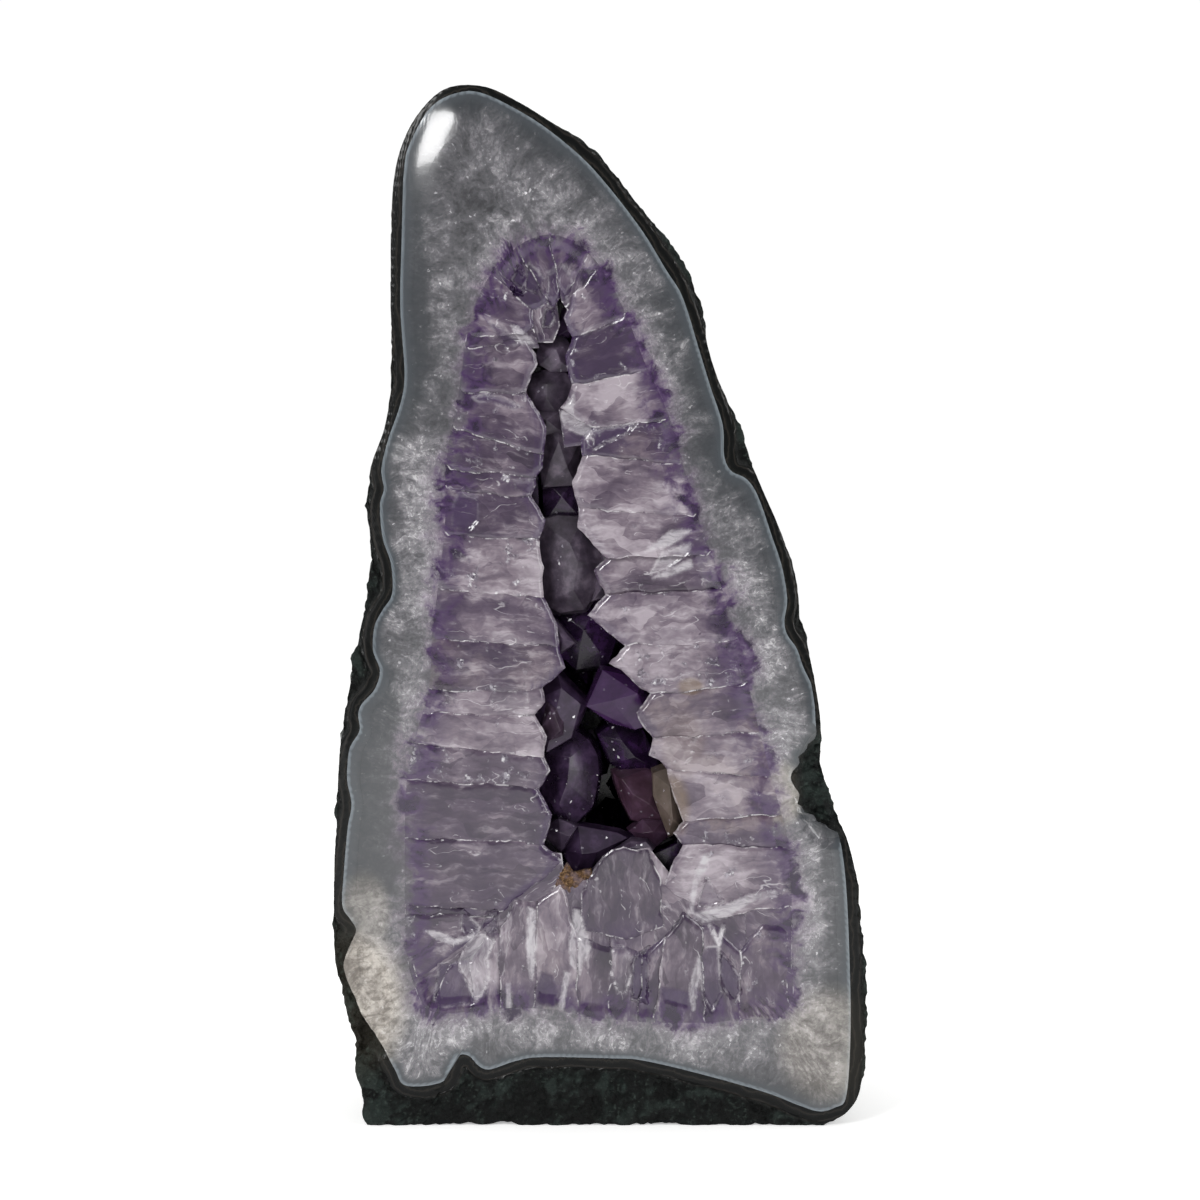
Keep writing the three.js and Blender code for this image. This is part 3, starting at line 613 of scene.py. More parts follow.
def buildCrystal(name, loop, kinds, rootMid, look, index):
    # a crystal cut at the face: the cut side first, then its back, which narrows towards its root
    rng = random.Random(index)
    violet, pale, sugar, brown, sunk = look
    spread = facePoints(loop, rng)
    ring = list(range(len(loop)))
    asked = [Vector(p) for p in np.vstack([loop, spread])]
    points, _, faces, *_ = delaunay_2d_cdt(asked, [], [ring], 1, 1e-5)
    faces = [list(f) for f in faces]
    front = np.array([tuple(p) for p in points])
    edges = {kind: [e for e, k in zip(edgesOf(loop), kinds) if k == kind] for kind in ("seam", "free")}
    seam, tip = edgeDistance(front, edges["seam"]), edgeDistance(front, edges["free"])
    shapes = shapeFields(front)
    held, _ = nearest(front, rootLoop)
    worn = np.array([noise.noise(Vector((x, index, z)) / 6) for x, z in front])
    shallow, deep = sawnRow["groove"]
    y = faceY + 0.1 + (sunk + shapes["sink"]) * smooth(held, 0.5, 6)
    groove = shallow + (deep - shallow) * smooth(worn, -0.2, 0.5)
    y = y + groove * np.exp(-seam / sawnRow["grooveWide"]) * smooth(held, 0, 3)
    y = y + sawnRow["tipDrop"] * np.clip(1 - tip / sawnRow["tipRound"], 0, 1) ** 2
    rows = [np.column_stack([front[:, 0], np.maximum(y, faceY), front[:, 1]])]
    middle = loop.mean(0)
    axis = (middle - rootMid) / np.linalg.norm(middle - rootMid)
    run = (loop - rootMid) @ axis
    total, before, size = len(front), ring, len(loop)
    for share, pull in sawnRow["backRows"]:
        back = loop - axis * (np.clip(run / run.max(), 0, 1) ** 2 * pull * run.max())[:, None]
        back = back + (middle - back) * (0.02 + 0.06 * share)
        depth = np.full(size, faceY + sunk + share * (sawnRow["thick"] - sunk))
        rows.append(np.column_stack([back[:, 0], depth, back[:, 1]]))
        now = [total + i for i in range(size)]
        faces += [[before[i], before[(i + 1) % size], now[(i + 1) % size], now[i]] for i in range(size)]
        total, before = total + size, now
    rows.append(np.array([[middle[0], faceY + sawnRow["thick"], middle[1]]]))
    faces += [[before[i], before[(i + 1) % size], total] for i in range(size)]
    corners = np.vstack(rows)
    flat = corners[:, [0, 2]]
    off = flat - rootMid
    fields = dict(fieldsAt(flat), **shapeFields(flat))
    fields["crystalSpace"] = np.column_stack([
        off @ np.array([-axis[1], axis[0]]), off @ axis, np.full(len(flat), index * 23.7)])
    fields["seam"], fields["tip"] = edgeDistance(flat, edges["seam"]), edgeDistance(flat, edges["free"])
    same = dict(shade=rng.random(), violet=violet, veil=pale, sugar=sugar, rust=brown)
    fields.update({key: np.full(len(flat), value) for key, value in same.items()})
    piece = makePiece(name, corners, faces, fields, creaseAngle=40)
    return piece


def buildSawnCrystal(node, index):
    loop, kinds, rootMid = outlineOf(node)
    name = "".join(word.title() for word in node.split("_"))
    piece = buildCrystal(name, loop, kinds, rootMid, crystalLooks[node], index)
    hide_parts(node)
    return piece


# crystals just behind, seen where the front row leaves a gap; looks as above
rowBehind = dict(
    behindRoofLeft=dict(root=(-54, 288), look=(0.5, 0.15, 0.2, 0, 1.3), outline=[
        (-53, 292), (-24, 291), (-22, 284), (-54, 283)]),
    behindRoof=dict(root=(-6, 312), look=(0.6, 0.3, 0.3, 0, 1.1), outline=[
        (-17, 318), (-6, 319), (3, 314), (4, 306), (-6, 299), (-11.5, 297), (-14, 301)]),
    behindSlit=dict(root=(-24, 303), look=(0.8, 0.1, 0.3, 0, 2.2), outline=[
        (-28, 301), (-16, 303), (-14.5, 292), (-17, 286), (-24, 286), (-28, 292)]),
    behindLip=dict(root=(2, 256), look=(0.7, 0.1, 0.2, 0, 2.2), outline=[
        (-15, 262), (-2, 262), (2, 250), (-13, 248)]),
    behindLeft=dict(root=(-50, 76), look=(0.5, 0.15, 0.3, 0, 1.2), outline=[
        (-50, 80), (-22, 101), (-14, 100), (-13, 92), (-24, 78), (-40, 66)]),
    behindCorner=dict(root=(-72, 50), look=(0.5, 0.3, 0.3, 0, 1.1), outline=[
        (-73, 82), (-50, 80), (-36, 72), (-42, 58), (-55, 42), (-73, 42)]),
    behindArchLeft=dict(root=(-5, 62), look=(0.5, 0.15, 0.1, 0, 1.4), outline=[
        (-14, 88), (-5, 90.5), (2, 96), (4, 62), (-12, 62)]),
    behindArch=dict(root=(12, 62), look=(0.55, 0.1, 0.05, 0, 1.6), outline=[
        (2, 96), (9, 101), (18, 102), (26, 92), (30, 74), (22, 62), (4, 62)]),
    behindRight=dict(root=(50, 60), look=(0.35, 0.3, 0.4, 0, 1.2), outline=[
        (18, 90), (36, 86), (54, 86), (60, 70), (56, 50), (36, 56), (20, 66)]),
    behindRightCorner=dict(root=(72, 60), look=(0.5, 0.2, 0.3, 0, 1.1), outline=[
        (52, 88), (74, 88), (74, 40), (54, 40)]),
)


def buildRowBehind():
    made = []
    for index, (name, spec) in enumerate(rowBehind.items()):
        outline = np.array(spec["outline"], float)
        off = outline - outline.mean(0)
        outline = outline[np.argsort(np.arctan2(off[:, 1], off[:, 0]))]
        loop = np.vstack([steppedAlong(a, b, sawnRow["grain"]) for a, b in edgesOf(outline)])
        off = loop - heart
        reach = radiiOf(rootLoop, np.arctan2(off[:, 1], off[:, 0])) + sawnRow["tuck"]
        loop = heart + off * np.minimum(1, reach / np.linalg.norm(off, axis=1))[:, None]
        kinds, root = ["seam"] * len(loop), np.array(spec["root"], float)
        made.append(buildCrystal(name, loop, kinds, root, spec["look"], sawnRow["behindFrom"] + index))
    return made


crystalNodes = sorted(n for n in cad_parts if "crystal" in n)
sawn = [buildSawnCrystal(node, i + 1) for i, node in enumerate(crystalNodes)]
sawn += buildRowBehind()
print("front row built:", len(sawn), "crystals")

# grown crystals of the hollow: the outline where each meets its neighbours, the depth of that outline, the
# points that stand out of it, and how milky, violet and reddish it is
hollowCrystals = dict(
    slitUpper=dict(skirt=9, crown=[(-15.9, 283.4, 5.5), (-14.5, 279.5, 6.5)], milky=0.7, outline=[
        (-17.9, 289), (-12.8, 288.5), (-10.3, 284.9), (-9.2, 279.8), (-10, 276), (-17.9, 275.5),
        (-22.2, 278.3), (-23.5, 282.4), (-22.2, 285.9)]),
    slitSecond=dict(skirt=10, crown=[(-19.4, 271, 4.5), (-19.5, 266, 5), (-15, 272, 7)], milky=0.85, outline=[
        (-21, 276.5), (-12.8, 276), (-9.2, 271.1), (-10.3, 265.5), (-14.8, 258.9), (-22, 259.4),
        (-27, 263), (-28.8, 269.1), (-26, 274.2)]),
    slitThird=dict(skirt=9, crown=[(-19.5, 258, 5)], milky=1.0, outline=[
        (-27, 261.9), (-14.3, 261.4), (-13.3, 253.3), (-19.9, 252.8)]),
    slitTop=dict(skirt=11, crown=[(-13, 297, 8.6), (-11.4, 291, 6.8)], milky=0.5, violet=0.4, outline=[
        (-13.8, 299.2), (-10.5, 299.2), (-10.8, 288), (-17.1, 288)]),
    leftWedge=dict(skirt=5, crown=[(-30, 266.5, 2.2)], milky=0.5, red=0.5, outline=[
        (-33.7, 272.1), (-27.1, 269.6), (-25, 261.5), (-30.1, 263), (-34.7, 268.1)]),
    chain4=dict(skirt=11, crown=[(-15, 250, 6), (-12, 241, 5.5), (-18, 243, 7)], milky=1.0, outline=[
        (-20, 255.8), (-14.8, 256.2), (-6.7, 251.5), (-7.6, 240.6), (-8.8, 234.4), (-20.8, 233.6),
        (-22.9, 244.8)]),
    chain4Low=dict(skirt=15, crown=[(-14, 230, 10)], milky=0.15, outline=[
        (-21.2, 237.2), (-8.8, 237.2), (-10.1, 224.8), (-5.5, 220.8), (-15.7, 221.3), (-20.8, 220.4)]),
    chain5=dict(skirt=12, crown=[(-11, 213, 6.5), (-8, 206, 4.5), (-9.8, 196, 5), (-16, 199, 8)],
        milky=1.0, outline=[
        (-22.5, 221.6), (-15.7, 223.3), (-5.5, 222.8), (-3, 218.9), (-1.3, 211.4), (2, 205.6),
        (-0.5, 196.4), (-5.5, 188.7), (-14.8, 187.5), (-20.8, 190.6), (-22.9, 199.7), (-23.7, 214.8)]),
    chain6=dict(skirt=8, crown=[(12, 204.5, 3.6), (3, 200.5, 4.2)], milky=0.9, outline=[
        (1, 209.1), (15.2, 210.7), (20.4, 209.1), (20.4, 199.6), (10.2, 197.1), (-2.5, 192.1)]),
    underChain=dict(skirt=20, crown=[(-6, 181, 14)], milky=0.0, outline=[
        (-21, 192), (0, 193), (8, 183), (3, 168), (-9, 166), (-20, 176)]),
    leftTip=dict(skirt=7, crown=[(-13.5, 178.5, 2.6), (-9.2, 176.8, 3.5)], milky=0.9, violet=0.3, outline=[
        (-20, 187.4), (-15.7, 184.4), (-9, 176.8), (-14.4, 172.9), (-18.5, 176.6)]),
    violetPoint=dict(skirt=11, crown=[(-5, 153.4, 6.5), (4.4, 155.6, 3.6), (13.5, 158.4, 3.4)],
        milky=0.12, violet=1.0, outline=[
        (-4.5, 153.4), (1, 166.5), (15.4, 163.4), (20.4, 153), (19.5, 146.2), (12.7, 144.5),
        (3.5, 147.2)]),
    leftSteps=dict(skirt=12, crown=[(-14, 160, 6), (-7, 154, 8), (-17, 148, 6.5)],
        milky=0.45, violet=0.3, outline=[
        (-15.7, 165.7), (-4.8, 154.3), (-8, 150.5), (-10.5, 141.4), (-19.8, 136), (-22.5, 147.2),
        (-26.2, 154.7), (-22.5, 159.9)]),
    leftStepsLow=dict(skirt=9, crown=[(-17, 151.5, 4.4), (-14.5, 144.5, 6)], milky=0.6, red=0.3, outline=[
        (-20, 155.5), (-14.2, 153.6), (-12.9, 149), (-13.5, 142.6), (-18.4, 140.5), (-21.6, 146)]),
    bigDark=dict(skirt=18, crown=[(-11.1, 134.2, 11), (-12, 124.9, 9.5), (-15, 117, 11)],
        milky=0.3, violet=0.2, outline=[
        (-9.2, 144), (-3.7, 139.8), (-0.8, 134.2), (-0.3, 128.6), (-1.3, 121.2), (-2.7, 115.6),
        (-9.7, 108.1), (-14.3, 109.5), (-19, 110.9), (-22.8, 117), (-24, 130.5), (-22.3, 136),
        (-14.3, 142.1)]),
    redViolet=dict(skirt=16, crown=[(8, 126.5, 9.5), (12.1, 121, 8), (18, 117.4, 8.5)],
        milky=0.35, red=0.8, outline=[
        (4.9, 127.7), (8.9, 128.8), (17.2, 129.6), (21.9, 127.7), (24.3, 121.2), (26.1, 115.6),
        (24.8, 109.1), (14.9, 110), (11.6, 110.5), (7.9, 117.9), (6.1, 123)]),
    darkStairs=dict(skirt=20, crown=[(8, 140, 15), (13, 134, 14)], milky=0.0, outline=[
        (-1, 142.1), (4.7, 146.3), (14.9, 146.3), (17.8, 137.9), (21, 132.3), (23.4, 127.6), (9.3, 127.6),
        (3.8, 131.4)]),
    greyWedge=dict(skirt=12, crown=[(-14.5, 107, 6.5), (-11, 105.5, 7.5)], milky=0.8, violet=0.2, outline=[
        (-15.3, 111.5), (-8.2, 108.7), (-10.1, 105.4), (-14.3, 98.9), (-23.2, 107.3)]),
    lowViolet=dict(skirt=15, crown=[(-6.5, 99, 8.5), (-1, 99.5, 9)], milky=0.4, violet=0.3, outline=[
        (-12.1, 105), (-8.3, 108.7), (-3.7, 104.1), (6.5, 106), (10.3, 104.1), (-3.7, 91.8), (-9.2, 90.5),
        (-14.4, 99.3)]),
    rightLow=dict(skirt=14, crown=[(19.5, 107.2, 8), (15.5, 106.5, 9)],
        milky=0.4, red=0.6, violet=0.2, outline=[
        (15.8, 111.1), (23.8, 110.6), (26.1, 105.4), (21, 101.1), (15.8, 102), (10.6, 106.8)]),
    brownLump=dict(skirt=9, crown=[(25.5, 124, 3), (26.5, 112.5, 2.4)], milky=0.7, brown=1.0, outline=[
        (19.5, 128.7), (27, 131.5), (31.2, 124), (31.6, 108.2), (25.1, 105.4), (22.7, 114.7),
        (19.5, 120.3)]),
    archRim=dict(skirt=4.5, crown=[(3, 96.6, 1.0), (11.4, 102.2, 1.2)], milky=1.0, violet=0.2, outline=[
        (-4.7, 90.5), (2.8, 98.4), (11.2, 104), (16.7, 104), (19.5, 100.8), (12.1, 100.2), (3.8, 94.2)]),
)

hollowShape = dict(
    flare=1.12, rooted=9.0,  # each crystal widens a little towards its root, this far behind its outline
    crease=12, softEdge=0.35, softFrom=14,  # degrees, mm, degrees
)

# glints: white chips placed where the druse catches the light, painted highlights
glints = dict(
    at=[
        (4.9, 144.8), (5.1, 136.5), (-10.8, 117.6), (-15.9, 107.5), (3.8, 116.1), (11.6, 98.1),
        (20.9, 95.9), (15.1, 102.9), (2.4, 104.3), (-9.7, 149.4), (-24.7, 154.5), (2.8, 146.4),
        (7, 133.7), (1, 108), (25.1, 106.6), (-11.1, 184.7), (-14.8, 205.6), (-20.9, 161),
    ],
    size=0.55,  # the brightest druse grains
    scattered=12, scatteredSize=0.22, within=((-20, 22), (98, 150)),
)


def hullOf(skirt, crown, depth):
    # the smallest faceted body round a crystal's outline and its crown, let down into the hollow
    work = bmesh.new()
    middle = np.mean(skirt, axis=0)
    for x, z in skirt:
        back = middle + (np.array([x, z]) - middle) * hollowShape["flare"]
        work.verts.new((x, faceY + depth, z))
        work.verts.new((back[0], faceY + depth + hollowShape["rooted"], back[1]))
    for x, z, y in crown:
        work.verts.new((x, faceY + y, z))
    made = bmesh.ops.convex_hull(work, input=work.verts)
    spare = [v for v in made["geom_interior"] + made["geom_unused"] if isinstance(v, bmesh.types.BMVert)]
    bmesh.ops.delete(work, geom=list(set(spare)), context="VERTS")
    work.verts.ensure_lookup_table()
    corners = [tuple(v.co) for v in work.verts]
    index = {v: i for i, v in enumerate(work.verts)}
    faces = [[index[v] for v in f.verts] for f in work.faces]
    work.free()
    return corners, faces


def joined(name, parts, creaseAngle):
    # parts: (corners, faces, dictionary of one value each)
    corners, faces, fields = [], [], {}
    for some, ways, values in parts:
        faces += [[len(corners) + i for i in way] for way in ways]
        corners += some
        for key, value in values.items():
            fields.setdefault(key, []).extend([value] * len(some))
    return makePiece(name, np.array(corners), faces, fields, creaseAngle)


def buildHollow():
    parts = []
    for spec in hollowCrystals.values():
        corners, faces = hullOf(spec["outline"], spec["crown"], spec["skirt"])
        values = {key: spec.get(key, 0.0) for key in ("milky", "violet", "red", "brown")}
        parts.append((corners, faces, values))
    piece = joined("hollowCrystals", parts, hollowShape["crease"])
    edge = piece.modifiers.new("softEdges", "BEVEL")
    edge.width, edge.segments = hollowShape["softEdge"] / 1000, 2
    edge.limit_method, edge.angle_limit = "ANGLE", math.radians(hollowShape["softFrom"])
    return piece


def buildGlints(hollow):
    # small white crystal chips in the dark, white to stand for glints: painted highlights
    rng = random.Random(11)
    graph = bpy.context.evaluated_depsgraph_get()
    trees = [BVHTree.FromObject(o, graph) for o in (hollow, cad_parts["cavity_druse"])]
    places = [(x, z, glints["size"]) for x, z in glints["at"]]
    for _ in range(glints["scattered"]):
        (x0, x1), (z0, z1) = glints["within"]
        x, z = rng.uniform(x0, x1), rng.uniform(z0, z1)
        places.append((x, z, glints["scatteredSize"] * rng.uniform(0.6, 1.6)))
    parts = []
    for x, z, size in places:
        hits = [t.ray_cast(Vector((x, faceY - 10, z)) / 1000, Vector((0, 1, 0)))[0] for t in trees]
        depth = min((h.y * 1000 for h in hits if h), default=faceY + 20)
        turn = Vector((rng.uniform(-1, 1), rng.uniform(-1, 1), rng.uniform(-1, 1))).normalized()
        side = turn.orthogonal().normalized()
        up = turn.cross(side)
        middle = Vector((x, depth, z))
        long = size * rng.uniform(1.0, 2.2)
        ends = [middle + turn * long, middle - turn * long]
        ring = [middle + (side * math.cos(a) + up * math.sin(a)) * size for a in (0, 2.1, 4.2)]
        faces = [[0, 2 + i, 2 + (i + 1) % 3] for i in range(3)]
        faces += [[1, 2 + (i + 1) % 3, 2 + i] for i in range(3)]
        parts.append(([tuple(p) for p in ends + ring], faces, {}))
    piece = joined("druseGlints", parts, 10)
    return piece


crust = dict(
    outline=[
        (-12, 96.6), (-9.7, 92.9), (-3.2, 94.4), (-2.4, 91.8), (-7.4, 86.9), (-11.1, 84.5),
        (-13.4, 86.5), (-18.4, 87.2), (-16.4, 92),
    ],
    front=1.2, thick=6.0, grain=0.45,
    lumps=((0.8, 2.6), (0.35, 0.8)),  # height and size of its grains
    ragged=(0.5, 1.3),  # how far its edge strays, and over what length
    roundOff=(1.2, 0.7),  # how far its edge drops, and over what width
)


def buildCrust():
    rng = random.Random(3)
    loop = []
    far, size = crust["ragged"]
    for a, b in edgesOf(crust["outline"]):
        for x, z in steppedAlong(a, b, crust["grain"]):
            side, up = (far * noise.noise(Vector((x, level, z)) / size) for level in (3, 9))
            loop.append((x + side, z + up))
    loop = np.array(loop)
    low, high = loop.min(0), loop.max(0)
    step = crust["grain"]
    grid = np.array([(x + rng.uniform(-0.1, 0.1), z + rng.uniform(-0.1, 0.1))
                     for x in np.arange(low[0], high[0], step) for z in np.arange(low[1], high[1], step)])
    grid = grid[inside(grid, loop)]
    grid = grid[edgeDistance(grid, edgesOf(loop)) > 0.25]
    asked = [Vector(p) for p in np.vstack([loop, grid])]
    points, _, faces, *_ = delaunay_2d_cdt(asked, [], [list(range(len(loop)))], 1, 1e-5)
    front = np.array([tuple(p) for p in points])
    rim = edgeDistance(front, edgesOf(loop))
    drop, wide = crust["roundOff"]
    y = [crust["front"] + drop * math.exp(-r / wide)
         - sum(tall * noise.noise(Vector((x, 0, z)) / size) for tall, size in crust["lumps"])
         for (x, z), r in zip(front, rim)]
    corners = np.column_stack([front[:, 0], faceY + np.array(y), front[:, 1]])
    back = np.column_stack([loop[:, 0], np.full(len(loop), faceY + crust["thick"]), loop[:, 1]])
    size, start = len(loop), len(front)
    faces = [list(f) for f in faces]
    faces += [[i, (i + 1) % size, start + (i + 1) % size, start + i] for i in range(size)]
    faces.append([start + i for i in range(size)])
    piece = makePiece("ironCrust", np.vstack([corners, back]), faces)
    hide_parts("iron_crust")
    return piece


hollow = buildHollow()
sparks = buildGlints(hollow)
crustPiece = buildCrust()
print("hollow built:", len(hollowCrystals), "grown crystals")


def colour(code):
    parts = [int(code[i:i + 2], 16) / 255 for i in (1, 3, 5)]
    return tuple(c / 12.92 if c <= 0.04045 else ((c + 0.055) / 1.055) ** 2.4 for c in parts) + (1,)


def addNode(tree, kind, *values, out=0, stops=(), sockets=None, **settings):
    # one node: "Math ADD" sets the operation, values go to its sockets in order, and its output comes back
    kind, _, operation = kind.partition(" ")
    node = tree.nodes.new("ShaderNode" + kind)
    if operation:
        node.operation = operation
    if kind == "Mix":
        node.data_type = "RGBA"
    if kind == "MapRange":
        node.interpolation_type = "SMOOTHSTEP"
    for key, value in settings.items():
        setattr(node, key, value)
    given = list(zip([s for s in node.inputs if s.enabled], values))
    for socket, value in given + [(node.inputs[key], value) for key, value in (sockets or {}).items()]:
        if isinstance(value, bpy.types.NodeSocket):
            tree.links.new(value, socket)
        else:
            socket.default_value = colour(value) if isinstance(value, str) else value
    for i, (place, tone) in enumerate(stops):
        stop = node.color_ramp.elements[i] if i < 2 else node.color_ramp.elements.new(place)
        stop.position, stop.color = place, colour(tone)
    return [s for s in node.outputs if s.enabled][out] if node.outputs else None


def newMaterial(name):
    # an empty material, and addNode bound to its tree
    material = bpy.data.materials.new(name)
    material.use_nodes = True
    material.node_tree.nodes.clear()
    return material, partial(addNode, material.node_tree)


def millimetres(node):
    return node("VectorMath SCALE", node("TexCoord", out=3), sockets={"Scale": 1000.0})


# polished quartz of any kind: a wet gloss over a milky depth
polishedFace = {
    "Subsurface Radius": (1.0, 1.0, 1.0), "Subsurface Scale": 0.0012, "Coat Weight": 0.3,
    "Coat Roughness": 0.04,
}

bedLook = dict(
    fibre=2.3, wisp=6.5, clump=20.0, frost=4.6, web=5.5, grit=0.9,  # mm: threads, bundles, patches, grains
    stretch=(1.0, 0.36, 1.0),  # threads are drawn out along their growth
    drift=9.0, warp=9.0,  # over what length the threads stray, and how far
    misty=(8.0, 32.0),  # between these depths the threads are lost in mist
    smoothTo=(1.0, 18.0),  # and between these, banded agate gives way to frosty quartz
    agateTones=[(0.0, "#727A80"), (0.03, "#5F666C"), (0.05, "#3B4045"), (0.16, "#2F3337"), (0.4, "#36383C"),
                (1.0, "#434247")],
    agateThick=30.0,  # mm over which those tones run
    frostTones=[(0.34, "#2B2B2E"), (0.42, "#3F3F42"), (0.5, "#59585C"), (0.57, "#7B797D"), (0.67, "#BAB8BA")],
    haze=[(0.36, "#352A3A"), (0.5, "#594C5D"), (0.64, "#847986")],
    violet="#3E2450", violetDark="#1F0C2E", violetBlob=6.5,  # mm across the patches of the violet line
    cream=("#7D756C", "#D0C9BF"), glitter="#DCDADD",
)


def bedColours(node):
    # agate, then quartz, then the violet line where the crystals root, by how far the stone had grown
    grown, bed, frosty, clear, chip, cream = (
        node("Attribute", attribute_name=key, out=2)
        for key in ("growth", "bed", "frosty", "clear", "chip", "cream"))
    place = millimetres(node)
    stray = node("TexNoise", place, 1 / bedLook["drift"], 4.0, out=1)
    stray = node("VectorMath SUBTRACT", stray, (0.5, 0.5, 0.5))
    stray = node("VectorMath SCALE", stray, sockets={"Scale": bedLook["warp"]})
    strayed = node("VectorMath ADD", place, stray)
    threads = node("VectorMath ADD", node("Attribute", attribute_name="growthSpace", out=1), stray)
    threads = node("VectorMath MULTIPLY", threads, bedLook["stretch"])
    fibre = node("TexNoise", threads, 1 / bedLook["fibre"], 4.0, 0.6, 2.0, 0.9)
    wisp = node("TexNoise", threads, 1 / bedLook["wisp"], 4.0, 0.6, 2.0, 0.6)
    puff = node("TexNoise", strayed, 1 / bedLook["wisp"], 4.0, 0.6, 2.0, 0.5)
    clump = node("TexNoise", place, 1 / bedLook["clump"], 5.0, 0.6)
    mist = node("TexNoise", strayed, 1 / bedLook["frost"], 6.0, 0.68, 2.0, 0.4)
    grit = node("SeparateColor", node("TexVoronoi", place, 1 / bedLook["grit"], out=1))
    wispOff, clumpOff, mistOff, gritOff = (
        node("Math SUBTRACT", value, 0.5) for value in (wisp, clump, mist, grit))
    misty = node("MapRange", grown, *bedLook["misty"], 0.3, 1.0)
    soft = node("Mix", misty, fibre, mist)

    # how far the frost has taken over, on a ragged line
    reach = grown
    for value, share in ((clumpOff, 22.0), (wispOff, 14.0), (frosty, 9.0), (chip, 9.0), (clear, -20.0)):
        reach = node("Math MULTIPLY_ADD", value, share, reach)
    frosted = node("MapRange", reach, *bedLook["smoothTo"], 0.14, 1.0)
    frosted = node("Math MULTIPLY", frosted, node("MapRange", grown, 1.0, 4.0))
    base = node("Math DIVIDE", node("Math MULTIPLY_ADD", chip, 14.0, grown), bedLook["agateThick"])
    base = node("ValToRGB", base, stops=bedLook["agateTones"])
    puff = node("Mix", misty, wisp, puff)
    mixed = node("MapRange", bed, -22.0, -4.0, -0.015, 0.03)
    for value, share in ((soft, 0.34), (puff, 0.33), (clump, 0.33), (frosty, 0.025), (gritOff, 0.04)):
        mixed = node("Math MULTIPLY_ADD", value, share, mixed)
    # bright rims of tiny broken faces
    level = node("TexNoise", node("Mix", misty, threads, strayed), 1 / bedLook["web"], 3.0, 0.6, 2.0, 1.2)
    level = node("Math ABSOLUTE", node("Math SUBTRACT", level, 0.5))
    web = node("Math MULTIPLY", node("MapRange", level, 0.022, 0.0), node("MapRange", mixed, 0.49, 0.58))
    mixed = node("Math MULTIPLY_ADD", web, 0.07, mixed)
    body = node("Mix", frosted, base, node("ValToRGB", mixed, stops=bedLook["frostTones"]))
    # pale grit specks in the frost: painted glints
    glitter = node("Math MULTIPLY", node("MapRange", grit, 0.95, 0.98), node("MapRange", soft, 0.52, 0.66))
    body = node("Mix", node("Math MULTIPLY", glitter, frosted), body, bedLook["glitter"])
    chalky = node("Mix", node("MapRange", mixed, 0.42, 0.6), *bedLook["cream"])
    body = node("Mix", node("Math MULTIPLY", cream, 0.75), body, chalky)

    # where crystal takes over from the bed, and the violet line there
    edge = bed
    for value, share in ((wispOff, 12.0), (clumpOff, 26.0), (mistOff, 12.0)):
        edge = node("Math MULTIPLY_ADD", value, share, edge)
    rooted = node("MapRange", edge, -8.0, 5.0)
    haze = node("ValToRGB", mixed, stops=bedLook["haze"])
    blob = node("VectorMath MULTIPLY", threads, (1.0, 1.6, 1.0))
    blob = node("TexNoise", blob, 1 / bedLook["violetBlob"], 3.0, 0.55)
    line = node("Math MULTIPLY", node("MapRange", edge, -3.0, 1.0), node("MapRange", edge, 12.0, 3.5))
    violet = node("Math MULTIPLY", line, node("MapRange", blob, 0.37, 0.56))
    hue = node("Mix", node("MapRange", blob, 0.5, 0.64), bedLook["violet"], bedLook["violetDark"])
    return dict(body=body, rooted=rooted, haze=haze, violet=violet, hue=hue, fibre=soft, wisp=wisp,
                clump=clump, grit=grit, mist=mist, frosted=frosted, place=place, chip=chip)


def polishedStone(name, milk=0.3):
    # chalcedony and milky quartz, sawn and polished: a wet gloss over a cloudy depth, dull where it is broken
    material, node = newMaterial(name)
    look = bedColours(node)
    body = node("Mix", look["rooted"], look["body"], look["haze"])
    body = node("Mix", look["violet"], body, look["hue"])
    pale = node("Mix", look["fibre"], "#8E8B90", "#E2DFE2")
    body = node("Mix", node("Attribute", attribute_name="pale", out=2), body, pale)
    height = node("Math MULTIPLY", look["fibre"], look["frosted"])
    bump = node("Bump", sockets={"Strength": 0.1, "Distance": 0.0006, "Height": height})
    node("OutputMaterial", node("BsdfPrincipled", sockets={
        **polishedFace, "Base Color": body, "Roughness": node("MapRange", look["chip"], 0.1, 0.7, 0.16, 0.6),
        "IOR": 1.54, "Subsurface Weight": milk, "Normal": bump,
    }))
    return material


basaltLook = dict(
    mottle=16.0, mineral=1.5, pits=3.2,  # mm: weathering patches, mineral grains, gas pits
    tones=[(0.36, "#050908"), (0.5, "#0D1412"), (0.6, "#18211E"), (0.72, "#28332E")],
    grainTone="#39433E", knobTone="#2F3A36", pitTone="#020303", dustTone="#5E5645",
    bandTones=[(0.0, "#040505"), (0.35, "#0A0B0B"), (0.52, "#24211E"), (0.66, "#101110"), (1.0, "#050606")],
    bandEvery=2.6,  # mm between the brown agate lines of the polished edge
    bandDrift=14.0,  # mm over which those lines bend
)


